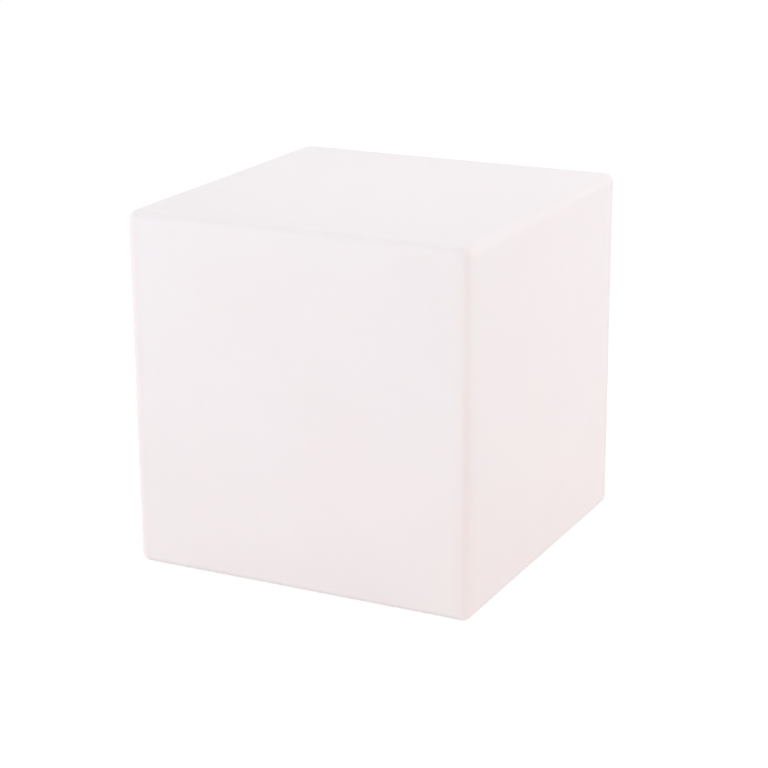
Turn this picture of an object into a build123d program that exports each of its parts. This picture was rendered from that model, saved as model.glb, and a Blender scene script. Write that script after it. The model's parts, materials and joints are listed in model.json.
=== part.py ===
"""A rechargeable cube light: a hollow moulded cube, 400 mm along each side, lit from a round light unit
that is screwed into a recess in its underside.

The frame: +Z is up, the feet stand on z = 0, the origin is under the middle of the cube, and the front is -Y.
All sizes are in millimetres.
"""

import os

from build123d import *

# ---------------------------------------------------------------- the cube shell
side = 400.0  # overall width, depth and height, with the feet
edge_radius = 10.5  # outside rounding of every edge
wall = 3.6  # thickness of the moulded wall
foot_proud = 2.0  # how far the feet stand below the shell
recess_depth = 10.0  # the recess that hides the light unit from below
recess_flare = 3.0  # how much wider the recess is at its mouth
recess_rounding = 2.0  # rounding of the recess's mouth and floor

# ---------------------------------------------------------------- feet and vent
foot_radius = 13.0
foot_seat = 2.0  # depth of the pocket that a foot sits in
pocket_gap = 0.3  # round a foot or the vent's head, inside its pocket
foot_inset = 45.0  # from a side of the cube to a foot's middle
foot_dimple_radius = 5.0
foot_dimple_depth = 0.8
foot_rounding = 1.0
vent_inset = 60.0  # from the back of the cube to the vent
vent_hole_radius = 4.0
vent_head_radius = 7.0
vent_head_thick = 1.5
vent_fit = 0.1  # round the vent's stem and above its catches
vent_catch = 0.8  # how far the vent's catches stand out
vent_catch_height = 1.6
vent_slot = 1.4
vent_airway_radius = 0.8

# ---------------------------------------------------------------- the light unit's moulding
cup_wall = 2.5
cup_side_room = 31.0  # from a cell's end to the cup's wall
cup_gap = 3.0  # between the cup and the opening in the shell
flange_thick = 4.5
flange_land = 8.0  # from the screw circle to the flange's edge
flange_gap = 4.0  # between the flange and the recess wall
flange_rounding = 1.5
plate_thick = 3.0
rim_width = 10.0
rim_thick = 4.0
panel_depth = 1.2  # the sunk panel that holds the switch, lamp and socket
panel_length = 96.0
panel_width = 32.0
panel_row = 1.0  # the panel's centre line, towards the back of the unit's middle

# ---------------------------------------------------------------- what fastens the unit to the shell
screw_count = 6
insert_radius = 4.5  # corner radius of the hexagonal brass insert
insert_waist = 3.3
insert_length = 10.0
insert_margin = 1.0  # plastic between an insert's boss and the opening
insert_floor = 0.5  # brass left at the blind end of an insert
thread_gap = 0.05  # between a screw's thread and what it is screwed into
bore_gap = 0.3  # round a screw, where it only passes through
base_thread = 2.0
base_screw_end_gap = 0.9  # from a screw's end to the bottom of its insert
base_head_radius = 4.0
base_head_height = 2.4
head_gap = 0.5  # round a sunk screw head
head_sink = 0.2  # how far a sunk head lies below the face
gasket_thick = 1.5
gasket_inset = 1.0
gasket_bore_gap = 0.6  # round a screw in the gasket, wider than elsewhere

# ---------------------------------------------------------------- small screws
small_thread = 1.5
small_head_radius = 2.6
small_head_height = 1.8
drive_width = 0.7
drive_share = 0.6  # depth of the cross recess, as a share of the head's height
boss_wall = 1.6  # plastic round a small screw

# ---------------------------------------------------------------- diffuser dome
dome_flange_thick = 3.0
dome_wall = 2.2
dome_height = 32.0  # from the rim to the top of the dome
dome_base_inset = 9.0  # from the flange's edge to the dome
dome_screw_inset = 3.2  # from the flange's edge to the screw circle
dome_screw_length = 11.0
dome_post_height = 8.0
dome_post_margin = 0.2  # from a post to the cup's outside
dome_screw_count = 6
dome_screw_start = 30.0
seal_section = 0.75  # radius of the dome seal's round section
seal_circle_inset = 7.4  # from the flange's edge to the seal
seal_gap = 0.15

# ---------------------------------------------------------------- deck and LED board
deck_thick = 1.5
deck_gap = 1.0
deck_drop = 1.6  # from the rim down to the deck's top
deck_room = 3.2  # from the battery bracket's screws to the deck
deck_screw_inset = 3.5  # from the deck's edge to its screws
deck_screw_length = 8.0
deck_screw_angles = (-18.0, 90.0, 198.0)
pad_thick = 0.5
pad_inset = 1.0  # from the LED board's edge to the thermal pad's
led_board_margin = 8.0  # from the deck's edge to the LED board's
led_board_thick = 1.6
led_size = 5.0
led_height = 1.6
led_lens_radius = 1.9
led_lens_depth = 0.5
outer_ring_inset = 6.0  # from the LED board's edge to its outer ring of LEDs
outer_ring_count = 16
inner_ring_inset = 17.0  # from the outer ring to the inner one
inner_ring_count = 8
board_screw_inset = 8.0  # from the outer ring to the board's screws
board_screw_count = 4
board_screw_start = 45.0
board_screw_length = 4.0
resistor_ring_radius = 14.0
resistor_count = 6
resistor_size = (3.2, 1.6, 0.6)
slot_size = (13.0, 4.0)  # where the LED lead comes up through the deck
slot_inset = 5.5  # from the outer ring to the slot's middle
receiver_size = (6.0, 5.4, 2.4)
receiver_eye_radius = 1.9

# ---------------------------------------------------------------- control board
control_size = (64.0, 34.0, 1.6)
control_slot_offset = 5.5  # from the control board's middle back to the slot above it
control_post_height = 7.0
control_hole_inset = 3.0
control_screw_length = 5.0
header_height = 4.2
plug_height = 3.8
header_depth = 5.0
header_pitch = 2.5
led_pitch = 2.0
header_end = 1.75  # from an outer pin's axis to the header's end
header_offset = 11.0  # from the board's middle forward to the switch and socket headers
header_inset = 9.0  # from a side of the board to the middle of a header
battery_header_size = (8.0, 7.0, 5.4)
battery_header_edge = 0.5  # from the control board's edge to the header's mouth
led_header_size = (12.0, 5.0, 4.4)
led_header_offset = 7.0  # from the slot forward to the middle of the LED board's header
chip_size = (10.0, 4.0, 1.5)
chip_offset = 25.5  # from a side of the board to the middle of the first chip
chip_row_offset = -3.0
second_chip_offset = 19.0
second_chip_row_offset = -1.0
transistor_size = (6.5, 3.5, 1.6)
transistor_pitch = 8.0
transistor_inset = 9.5  # from a side of the board to the first transistor
transistor_row_offset = 11.5
transistor_count = 3
capacitor_radius = 4.0
capacitor_height = 12.0
capacitor_inset = 6.0  # from a side of the board to the first capacitor
capacitor_pitch = 9.5
capacitor_count = 2
capacitor_row_offset = -1.5
coil_size = (7.0, 7.0, 3.6)
coil_offset = 18.0  # from a side of the board to the coil
coil_row_offset = 10.5
coil_core_radius = 2.6
coil_core_height = 0.6

# ---------------------------------------------------------------- battery
cell_radius = 9.2
cell_length = 65.0
cell_gap = 0.6  # between the two cells
cell_lift = 1.2  # from the plate to a cell
cell_nub_radius = 2.8
cell_nub_height = 1.0
battery_row = -30.0  # the pair's middle, towards the front
cradle_offset = 22.0
cradle_thick = 2.4
cradle_gap = 0.2
cradle_lip = 1.0
stop_gap = 1.6  # from a cell's tab to its end stop
stop_thick = 2.0
stop_height = 6.0
tab_thick = 0.3
tab_width = 7.0
pad_gap = 0.3
cell_pad_thick = 1.0
cell_pad_size = (12.0, 30.0)
bracket_thick = 2.0
bracket_width = 14.0
bracket_screw_length = 9.0
bracket_gap = 0.3

# ---------------------------------------------------------------- push switch
switch_x = -23.0
panel_seal_thick = 0.8
panel_seal_inset = 0.5  # from a bezel's edge to its seal's
bezel_thick = 1.8
switch_bezel_radius = 9.0
bush_radius = 6.0
bush_length = 9.6
panel_bore_gap = 0.2
nut_thick = 2.5
nut_land = 2.4  # from the thread to the nut's flats
button_radius = 5.0
button_gap = 0.3
button_proud = 1.4
button_height = 5.2
button_travel = 1.5
button_rounding = 0.6
stem_radius = 1.7
stem_gap = 0.2
stem_head_radius = 2.8
stem_head_height = 1.5
stem_head_gap = 0.3
spring_room = 4.0  # between the button and the bush's ceiling, with the button out
spring_radius = 3.4
spring_wire = 0.25  # radius of the wire
spring_turns = 4.0
spring_end_gap = 0.05
case_height = 8.0
case_chamber_radius = 3.3
case_chamber_gap = 1.7  # above the stem when the button is pressed in
terminal_size = (0.6, 2.0, 3.0)
terminal_offset = 1.25
symbol_radius = 2.2  # the generic power symbol sunk in the button
symbol_line = 0.5
symbol_depth = 0.3

# ---------------------------------------------------------------- charging socket and its cover
socket_x = 23.0
socket_bezel_radius = 7.0
socket_bush_radius = 5.0
socket_bush_length = 7.6
socket_bore_radius = 3.15
socket_depth = 9.5
socket_pin_radius = 1.05
socket_pin_recess = 2.2
socket_back_height = 6.0
cover_radius = 8.0
cover_thick = 1.8
cover_gap = 0.1
cover_rounding = 0.5
bung_radius = 2.9
bung_tip_radius = 2.4
bung_length = 1.9
strap_thick = 1.0
strap_width = 6.0
hinge_reach = 10.0  # from the socket's axis to the cover's hinge line
knuckle_radius = 0.9
knuckle_gap = 0.2
anchor_reach = 15.0  # from the socket's axis to the anchor's stud
anchor_radius = 3.2
stud_radius = 1.5
stud_gap = 0.1
stud_head_radius = 2.4
stud_head_height = 1.6
stud_head_gap = 0.1
pull_tab_size = (5.0, 5.0, 1.2)
pull_tab_overlap = 2.0

# ---------------------------------------------------------------- charge lamp
lamp_radius = 1.5
lamp_proud = 2.0  # below the sunk panel
lamp_collar_radius = 1.9
lamp_collar_height = 1.0
lamp_hole_gap = 0.05
lamp_leg_radius = 0.25
lamp_leg_offset = 1.27
lamp_leg_length = 3.0

# ---------------------------------------------------------------- leads
lead_radius = 0.8
thin_lead_radius = 0.6
lead_bend = 4.0  # bend radius of the leads' centre lines
lead_deck_gap = 3.1  # from the deck down to the switch and socket leads, where they cross
lamp_lead_rise = 5.9  # how high above the control board the lamp's lead crosses
lamp_pad_offset = 13.0  # from the board's middle forward to where the lamp's lead is soldered
led_lead_height = 2.0  # the LED lead's centre line above the LED board
red_reach = 7.2  # from the cells' tab to the battery's positive lead, beside them
lane_gap = 3.0  # from the positive lead to the negative one
black_turn = 8.2  # how far the negative lead leaves the cells' far end
valley_height = 5.8  # the negative lead above the cells' axes

# ---------------------------------------------------------------- levels, from the floor up
shell_base = foot_proud
shell_height = side - foot_proud
recess_floor = shell_base + recess_depth
flange_top = recess_floor - gasket_thick
unit_face = flange_top - flange_thick
plate_top = unit_face + plate_thick
panel_face = unit_face + panel_depth
base_seat = unit_face + base_head_height + head_sink
base_screw_length = recess_floor - base_seat + insert_length - insert_floor - base_screw_end_gap
control_base = plate_top + control_post_height
control_top = control_base + control_size[2]
header_top = control_top + header_height
plug_top = header_top + plug_height
cell_axis = plate_top + cell_lift + cell_radius
cell_pad_base = cell_axis + cell_radius + pad_gap
bracket_base = cell_pad_base + cell_pad_thick
deck_bottom = bracket_base + bracket_thick + small_head_height + deck_room
deck_top = deck_bottom + deck_thick
rim_top = deck_top + deck_drop
rim_bottom = rim_top - rim_thick
led_board_base = deck_top + pad_thick
led_board_top = led_board_base + led_board_thick
lead_height = deck_bottom - lead_deck_gap
lamp_lead_height = control_top + lamp_lead_rise
bezel_top = panel_face - panel_seal_thick
bezel_face = bezel_top - bezel_thick
bush_top = bezel_top + bush_length
button_face = bezel_face - button_proud
button_back = button_face + button_height
spring_ceiling = button_back + spring_room
case_top = bush_top + case_height
case_chamber_height = stem_head_gap + stem_head_height + button_travel + case_chamber_gap
socket_bush_top = bezel_top + socket_bush_length
socket_top = socket_bush_top + socket_back_height
cover_back = bezel_face - cover_gap
cover_face = cover_back - cover_thick
hinge_height = cover_face + strap_thick / 2

# ---------------------------------------------------------------- radii, from the cup outwards
cup_inner = cell_length / 2 + cup_side_room
cup_radius = cup_inner + cup_wall
rim_inner = cup_radius - rim_width
opening_radius = cup_radius + cup_gap
insert_boss_radius = insert_radius + wall
screw_circle = opening_radius + insert_margin + insert_boss_radius
flange_radius = screw_circle + flange_land
recess_radius = flange_radius + flange_gap
dome_screw_circle = cup_radius - dome_screw_inset
seal_circle = cup_radius - seal_circle_inset
deck_radius = rim_inner - deck_gap
deck_screw_circle = deck_radius - deck_screw_inset
led_board_radius = deck_radius - led_board_margin
outer_ring_radius = led_board_radius - outer_ring_inset
inner_ring_radius = outer_ring_radius - inner_ring_inset
board_screw_circle = outer_ring_radius - board_screw_inset
slot_row = outer_ring_radius - slot_inset
led_header_row = slot_row - led_header_offset
control_row = slot_row - control_slot_offset
header_row = control_row - header_offset
header_x = control_size[0] / 2 - header_inset
small_boss_radius = small_thread + boss_wall
foot_offset = side / 2 - foot_inset
vent_offset = side / 2 - vent_inset
cell_offset = cell_radius + cell_gap / 2
bracket_screw_offset = cell_offset + cell_radius + bracket_gap + small_boss_radius
hinge_x = socket_x + hinge_reach
anchor_x = socket_x + anchor_reach
control_holes = (control_size[0] - 2 * control_hole_inset, control_size[1] - 2 * control_hole_inset)

UP = (Align.CENTER, Align.CENTER, Align.MIN)
DOWN = (Align.CENTER, Align.CENTER, Align.MAX)


# ---------------------------------------------------------------- pieces that repeat
def pan_screw(thread, length, head_radius, head_height):
    """A cross-recessed screw: the head hangs under z = 0 and the thread stands up from it."""
    with BuildPart() as screw:
        Cylinder(head_radius, head_height, align=DOWN)
        fillet(screw.faces().sort_by(Axis.Z)[0].edges(), head_height / 3)
        Cylinder(thread - thread_gap, length, align=UP)
        chamfer(screw.faces().sort_by(Axis.Z)[-1].edges(), thread / 4)
        with BuildSketch(Plane.XY.offset(-head_height)):
            Rectangle(head_radius, drive_width)
            Rectangle(drive_width, head_radius)
        extrude(amount=head_height * drive_share, mode=Mode.SUBTRACT)
    return screw.part


def hex_nut(thread, thickness):
    """A thin panel nut standing on z = 0."""
    with BuildPart() as nut:
        with BuildSketch():
            RegularPolygon(thread + nut_land, 6, major_radius=False)
            Circle(thread + thread_gap, mode=Mode.SUBTRACT)
        extrude(amount=thickness)
        rim = nut.edges().filter_by(GeomType.LINE).group_by(Axis.Z)
        chamfer(rim[-1], thickness / 8)
    return nut.part


def insert_form():
    """The outside of a moulded-in insert: a hexagon with a waist that the plastic flows into."""
    with BuildPart() as form:
        with BuildSketch():
            RegularPolygon(insert_radius, 6)
        extrude(amount=insert_length)
        with BuildSketch(Plane.XY.offset(insert_length / 3)):
            RegularPolygon(insert_radius, 6)
            Circle(insert_waist, mode=Mode.SUBTRACT)
        extrude(amount=insert_length / 3, mode=Mode.SUBTRACT)
    return form.part


def wire(points, radius, bend=lead_bend):
    """One insulated wire along straight runs joined by round bends."""
    with BuildPart() as tube:
        with BuildLine() as route:
            FilletPolyline(*points, radius=bend)
        with BuildSketch(Plane(route.line @ 0, z_dir=route.line % 0)):
            Circle(radius)
        sweep(path=route.line)
    return tube.part


def led_package():
    """One square LED package standing on z = 0, with its round well."""
    with BuildPart() as package:
        Box(led_size, led_size, led_height, align=UP)
        chamfer(package.edges().filter_by(Axis.Z).sort_by(Axis.X)[0], led_size / 8)
        with Locations((0, 0, led_height)):
            Cylinder(led_lens_radius, led_lens_depth, align=DOWN, mode=Mode.SUBTRACT)
    return package.part


# ---------------------------------------------------------------- cube shell
with BuildPart(Plane.XY.offset(shell_base + wall)) as cavity:
    Box(side - 2 * wall, side - 2 * wall, shell_height - 2 * wall, align=UP)
    fillet(cavity.edges(), edge_radius - wall)

with BuildPart() as cube_shell:
    with Locations((0, 0, shell_base)):
        Box(side, side, shell_height, align=UP)
    fillet(cube_shell.edges(), edge_radius)
    add(cavity.part, mode=Mode.SUBTRACT)
    # The tub round the recess, then the recess itself.
    with BuildSketch(Plane.XZ):
        with BuildLine():
            Polyline(
                (0, shell_base),
                (recess_radius + recess_flare + wall, shell_base),
                (recess_radius + wall, recess_floor + wall),
                (0, recess_floor + wall),
                close=True,
            )
        make_face()
    revolve(axis=Axis.Z)
    with BuildSketch(Plane.XZ):
        with BuildLine():
            Polyline(
                (0, shell_base),
                (recess_radius + recess_flare, shell_base),
                (recess_radius, recess_floor),
                (0, recess_floor),
                close=True,
            )
        make_face()
    revolve(axis=Axis.Z, mode=Mode.SUBTRACT)
    rings = cube_shell.edges().filter_by(GeomType.CIRCLE).filter_by(lambda edge: edge.is_closed)
    mouth, _, corner, _ = rings.sort_by(Axis.Z)
    fillet((mouth, corner), recess_rounding)
    with Locations((0, 0, recess_floor)):
        Cylinder(opening_radius, wall, align=UP, mode=Mode.SUBTRACT)
    # Bosses round the brass inserts.
    with BuildSketch(Plane.XY.offset(recess_floor)):
        with PolarLocations(screw_circle, screw_count):
            Circle(insert_boss_radius)
    extrude(amount=insert_length + wall)
    with Locations((0, 0, recess_floor)):
        with PolarLocations(screw_circle, screw_count):
            add(insert_form(), mode=Mode.SUBTRACT)
    # Foot pockets, each with the wall carried up over it.
    with BuildSketch(Plane.XY.offset(shell_base + foot_seat)):
        with GridLocations(2 * foot_offset, 2 * foot_offset, 2, 2):
            Circle(foot_radius + pocket_gap + wall)
    extrude(amount=wall)
    with BuildSketch(Plane.XY.offset(shell_base)):
        with GridLocations(2 * foot_offset, 2 * foot_offset, 2, 2):
            Circle(foot_radius + pocket_gap)
    extrude(amount=foot_seat, mode=Mode.SUBTRACT)
    # The vent's seat.
    with Locations((0, vent_offset, shell_base + vent_head_thick)):
        Cylinder(vent_head_radius + pocket_gap + wall, wall, align=UP)
    with Locations((0, vent_offset, shell_base)):
        Cylinder(vent_head_radius + pocket_gap, vent_head_thick, align=UP, mode=Mode.SUBTRACT)
        Cylinder(vent_hole_radius, vent_head_thick + wall, align=UP, mode=Mode.SUBTRACT)

with BuildPart() as threaded_inserts:
    with Locations((0, 0, recess_floor)):
        with PolarLocations(screw_circle, screw_count):
            add(insert_form())
            Cylinder(base_thread, insert_length - insert_floor, align=UP, mode=Mode.SUBTRACT)

with BuildPart() as rubber_feet:
    with GridLocations(2 * foot_offset, 2 * foot_offset, 2, 2):
        Cylinder(foot_radius, foot_proud + foot_seat, align=UP)
    fillet(rubber_feet.edges().group_by(Axis.Z)[0], foot_rounding)
    with GridLocations(2 * foot_offset, 2 * foot_offset, 2, 2):
        Cylinder(foot_dimple_radius, foot_dimple_depth, align=UP, mode=Mode.SUBTRACT)

vent_seat = shell_base + vent_head_thick
with BuildPart() as vent_plug:
    with Locations((0, vent_offset, vent_seat)):
        Cylinder(vent_head_radius, vent_head_thick, align=DOWN)
        Cylinder(vent_hole_radius - vent_fit, wall + vent_fit + vent_catch_height, align=UP)
    with Locations((0, vent_offset, vent_seat + wall + vent_fit)):
        Cone(
            vent_hole_radius + vent_catch,
            vent_hole_radius - vent_fit,
            vent_catch_height,
            align=UP,
        )
    fillet(vent_plug.faces().sort_by(Axis.Z)[0].edges(), vent_head_thick / 3)
    with Locations((0, vent_offset, vent_seat + wall / 2)):
        Box(vent_slot, 4 * vent_head_radius, 2 * wall, align=UP, mode=Mode.SUBTRACT)
    with Locations((0, vent_offset, shell_base)):
        Cylinder(vent_airway_radius, 2 * wall, align=UP, mode=Mode.SUBTRACT)

# ---------------------------------------------------------------- the light unit's moulding
with BuildPart() as light_base:
    with BuildSketch(Plane.XZ):
        with BuildLine():
            Polyline(
                (0, unit_face),
                (flange_radius, unit_face),
                (flange_radius, flange_top),
                (cup_radius, flange_top),
                (cup_radius, rim_top),
                (rim_inner, rim_top),
                (rim_inner, rim_bottom),
                (cup_inner, rim_bottom),
                (cup_inner, plate_top),
                (0, plate_top),
                close=True,
            )
        make_face()
    revolve(axis=Axis.Z)
    flange_edge = light_base.edges().filter_by(GeomType.CIRCLE).group_by(Axis.Z)[0].sort_by(SortBy.RADIUS)[-1]
    fillet(flange_edge, flange_rounding)
    # The sunk panel and the holes in it.
    with BuildSketch(Plane.XY.offset(unit_face)):
        with Locations((0, panel_row)):
            SlotOverall(panel_length, panel_width)
    extrude(amount=panel_depth, mode=Mode.SUBTRACT)
    with BuildSketch(Plane.XY.offset(panel_face)):
        with Locations((switch_x, panel_row)):
            Circle(bush_radius + panel_bore_gap)
        with Locations((socket_x, panel_row)):
            Circle(socket_bush_radius + panel_bore_gap)
        with Locations((0, panel_row)):
            Circle(lamp_radius + lamp_hole_gap)
        with Locations((anchor_x, panel_row)):
            Circle(stud_radius + stud_gap)
    extrude(amount=plate_top - panel_face, mode=Mode.SUBTRACT)
    # Sunk holes for the screws that hold the unit.
    with Locations((0, 0, unit_face)):
        with PolarLocations(screw_circle, screw_count):
            Cylinder(
                base_head_radius + head_gap, base_head_height + head_sink, align=UP, mode=Mode.SUBTRACT
            )
            Cylinder(base_thread + bore_gap, flange_thick, align=UP, mode=Mode.SUBTRACT)
    # Posts under the rim for the dome's screws, and the seal's groove.
    with BuildSketch(Plane.XY.offset(rim_bottom - dome_post_height)):
        with PolarLocations(dome_screw_circle, dome_screw_count, start_angle=dome_screw_start):
            Circle(dome_screw_inset - dome_post_margin)
    extrude(amount=dome_post_height)
    with BuildSketch(Plane.XY.offset(rim_top)):
        with PolarLocations(dome_screw_circle, dome_screw_count, start_angle=dome_screw_start):
            Circle(small_thread)
    extrude(amount=-dome_screw_length, mode=Mode.SUBTRACT)
    with BuildSketch(Plane.XY.offset(rim_top)):
        Circle(seal_circle + seal_section + seal_gap)
        Circle(seal_circle - seal_section - seal_gap, mode=Mode.SUBTRACT)
    extrude(amount=-2 * seal_section, mode=Mode.SUBTRACT)
    # Posts for the deck.
    for angle in deck_screw_angles:
        with BuildSketch(Plane.XY.offset(plate_top)):
            with PolarLocations(deck_screw_circle, 1, start_angle=angle):
                Circle(small_boss_radius)
        extrude(amount=deck_bottom - plate_top)
        with BuildSketch(Plane.XY.offset(deck_bottom)):
            with PolarLocations(deck_screw_circle, 1, start_angle=angle):
                Circle(small_thread)
        extrude(amount=-deck_screw_length, mode=Mode.SUBTRACT)
    # Posts for the control board.
    with BuildSketch(Plane.XY.offset(plate_top)):
        with Locations((0, control_row)):
            with GridLocations(*control_holes, 2, 2):
                Circle(small_boss_radius)
    extrude(amount=control_post_height)
    with BuildSketch(Plane.XY.offset(control_base)):
        with Locations((0, control_row)):
            with GridLocations(*control_holes, 2, 2):
                Circle(small_thread)
    extrude(amount=-control_screw_length, mode=Mode.SUBTRACT)
    # Cradle ribs, end stops and bracket bosses for the battery.
    with BuildSketch(Plane.XY.offset(plate_top)):
        with Locations((0, battery_row)):
            with GridLocations(2 * cradle_offset, 1, 2, 1):
                Rectangle(cradle_thick, 2 * (cell_offset + cell_radius - cradle_lip))
    extrude(amount=cell_axis - plate_top)
    with BuildSketch(Plane.YZ.offset(-cell_length / 2)):
        with Locations((battery_row, cell_axis)):
            with GridLocations(2 * cell_offset, 1, 2, 1):
                Circle(cell_radius + cradle_gap)
    extrude(amount=cell_length, mode=Mode.SUBTRACT)
    with BuildSketch(Plane.XY.offset(plate_top)):
        with Locations((0, battery_row)):
            with GridLocations(cell_length + 2 * (tab_thick + stop_gap) + stop_thick, 2 * cell_offset, 2, 2):
                Rectangle(stop_thick, cell_radius)
    extrude(amount=stop_height)
    with BuildSketch(Plane.XY.offset(plate_top)):
        with Locations((0, battery_row)):
            with GridLocations(1, 2 * bracket_screw_offset, 1, 2):
                Circle(small_boss_radius)
    extrude(amount=bracket_base - plate_top)
    with BuildSketch(Plane.XY.offset(bracket_base)):
        with Locations((0, battery_row)):
            with GridLocations(1, 2 * bracket_screw_offset, 1, 2):
                Circle(small_thread)
    extrude(amount=-bracket_screw_length, mode=Mode.SUBTRACT)

with BuildPart() as base_gasket:
    with BuildSketch(Plane.XY.offset(flange_top)):
        Circle(flange_radius - gasket_inset)
        Circle(opening_radius + gasket_inset, mode=Mode.SUBTRACT)
        with PolarLocations(screw_circle, screw_count):
            Circle(base_thread + gasket_bore_gap, mode=Mode.SUBTRACT)
    extrude(amount=gasket_thick)

base_screw = pan_screw(base_thread, base_screw_length, base_head_radius, base_head_height)
with BuildPart(Plane.XY.offset(base_seat)) as base_screws:
    with PolarLocations(screw_circle, screw_count):
        add(base_screw)

# ---------------------------------------------------------------- diffuser dome
dome_radius = cup_radius - dome_base_inset
dome_step = rim_top + dome_flange_thick
dome_top = rim_top + dome_height
with BuildPart() as diffuser_dome:
    with BuildSketch(Plane.XZ):
        with BuildLine():
            Polyline(
                (dome_radius - dome_wall, rim_top),
                (cup_radius, rim_top),
                (cup_radius, dome_step),
                (dome_radius, dome_step),
            )
            TangentArc((0, dome_top), (dome_radius, dome_step), tangent=(1, 0))
            Line((0, dome_top), (0, dome_top - dome_wall))
            TangentArc((0, dome_top - dome_wall), (dome_radius - dome_wall, dome_step), tangent=(1, 0))
            Line((dome_radius - dome_wall, dome_step), (dome_radius - dome_wall, rim_top))
        make_face()
    revolve(axis=Axis.Z)
    with BuildSketch(Plane.XY.offset(rim_top)):
        with PolarLocations(dome_screw_circle, dome_screw_count, start_angle=dome_screw_start):
            Circle(small_thread + bore_gap)
    extrude(amount=dome_flange_thick, mode=Mode.SUBTRACT)

small_dome_screw = pan_screw(small_thread, dome_screw_length, small_head_radius, small_head_height)
with BuildPart(Plane.XY.offset(dome_step)) as dome_screws:
    with PolarLocations(dome_screw_circle, dome_screw_count, start_angle=dome_screw_start):
        add(small_dome_screw, rotation=(180, 0, 0))

with BuildPart(Plane.XY.offset(rim_top - seal_section)) as dome_seal:
    Torus(seal_circle, seal_section)

# ---------------------------------------------------------------- deck, thermal pad and LED board
with BuildPart() as light_deck:
    with BuildSketch(Plane.XY.offset(deck_bottom)):
        Circle(deck_radius)
        for angle in deck_screw_angles:
            with PolarLocations(deck_screw_circle, 1, start_angle=angle):
                Circle(small_thread + bore_gap, mode=Mode.SUBTRACT)
        with PolarLocations(board_screw_circle, board_screw_count, start_angle=board_screw_start):
            Circle(small_thread, mode=Mode.SUBTRACT)
        with Locations((0, slot_row)):
            SlotOverall(*slot_size, mode=Mode.SUBTRACT)
    extrude(amount=deck_thick)

with BuildPart() as thermal_pad:
    with BuildSketch(Plane.XY.offset(deck_top)):
        Circle(led_board_radius - pad_inset)
        with PolarLocations(board_screw_circle, board_screw_count, start_angle=board_screw_start):
            Circle(small_thread + bore_gap, mode=Mode.SUBTRACT)
        with Locations((0, slot_row)):
            SlotOverall(*slot_size, mode=Mode.SUBTRACT)
    extrude(amount=pad_thick)

with BuildPart() as led_board:
    with BuildSketch(Plane.XY.offset(led_board_base)):
        Circle(led_board_radius)
        with PolarLocations(board_screw_circle, board_screw_count, start_angle=board_screw_start):
            Circle(small_thread + bore_gap, mode=Mode.SUBTRACT)
        with Locations((0, slot_row)):
            SlotOverall(*slot_size, mode=Mode.SUBTRACT)
    extrude(amount=led_board_thick)

package = led_package()
with BuildPart(Plane.XY.offset(led_board_top)) as led_packages:
    with PolarLocations(outer_ring_radius, outer_ring_count, start_angle=180 / outer_ring_count):
        add(package)
    with PolarLocations(inner_ring_radius, inner_ring_count, start_angle=180 / inner_ring_count):
        add(package)

with BuildPart(Plane.XY.offset(led_board_top + led_height - led_lens_depth)) as led_lenses:
    with PolarLocations(outer_ring_radius, outer_ring_count, start_angle=180 / outer_ring_count):
        Cylinder(led_lens_radius, led_lens_depth, align=UP)
    with PolarLocations(inner_ring_radius, inner_ring_count, start_angle=180 / inner_ring_count):
        Cylinder(led_lens_radius, led_lens_depth, align=UP)

with BuildPart(Plane.XY.offset(led_board_top)) as led_resistors:
    with PolarLocations(resistor_ring_radius, resistor_count):
        Box(*resistor_size, align=UP)

with BuildPart(Plane.XY.offset(led_board_top)) as remote_receiver:
    Box(*receiver_size, align=UP)
    with Locations((0, 0, receiver_size[2])):
        Sphere(receiver_eye_radius)
    fillet(remote_receiver.edges().filter_by(Axis.Z), receiver_size[1] / 8)

with BuildPart(Plane.XY.offset(led_board_top)) as led_header:
    with Locations((0, led_header_row)):
        Box(*led_header_size, align=UP)
    chamfer(led_header.faces().sort_by(Axis.Z)[-1].edges().sort_by(Axis.Y)[0], led_header_size[2] / 5)

board_screw = pan_screw(small_thread, board_screw_length, small_head_radius, small_head_height)
with BuildPart(Plane.XY.offset(led_board_top)) as board_screws:
    with PolarLocations(board_screw_circle, board_screw_count, start_angle=board_screw_start):
        add(board_screw, rotation=(180, 0, 0))

deck_screw = pan_screw(small_thread, deck_screw_length, small_head_radius, small_head_height)
with BuildPart(Plane.XY.offset(deck_top)) as deck_screws:
    for angle in deck_screw_angles:
        with PolarLocations(deck_screw_circle, 1, start_angle=angle):
            add(deck_screw, rotation=(180, 0, 0))

# ---------------------------------------------------------------- control board
with BuildPart() as control_board:
    with BuildSketch(Plane.XY.offset(control_base)):
        with Locations((0, control_row)):
            RectangleRounded(control_size[0], control_size[1], control_hole_inset / 2)
            with GridLocations(*control_holes, 2, 2):
                Circle(small_thread + bore_gap, mode=Mode.SUBTRACT)
    extrude(amount=control_size[2])

control_screw = pan_screw(small_thread, control_screw_length, small_head_radius, small_head_height)
with BuildPart(Plane.XY.offset(control_top)) as control_screws:
    with Locations((0, control_row)):
        with GridLocations(*control_holes, 2, 2):
            add(control_screw, rotation=(180, 0, 0))

control_edge = -control_size[0] / 2
chip_place = (control_edge + chip_offset, control_row + chip_row_offset)
second_chip_place = (-control_edge - second_chip_offset, control_row + second_chip_row_offset)
with BuildPart(Plane.XY.offset(control_top)) as board_chips:
    with Locations(chip_place, second_chip_place):
        Box(*chip_size, align=UP)
    chamfer(board_chips.faces().filter_by(Axis.Z).group_by(Axis.Z)[-1].edges(), chip_size[2] / 5)

with BuildPart(Plane.XY.offset(control_top)) as power_transistors:
    for i in range(transistor_count):
        x = control_edge + transistor_inset + transistor_pitch * i
        with Locations((x, control_row + transistor_row_offset)):
            Box(*transistor_size, align=UP)

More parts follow.
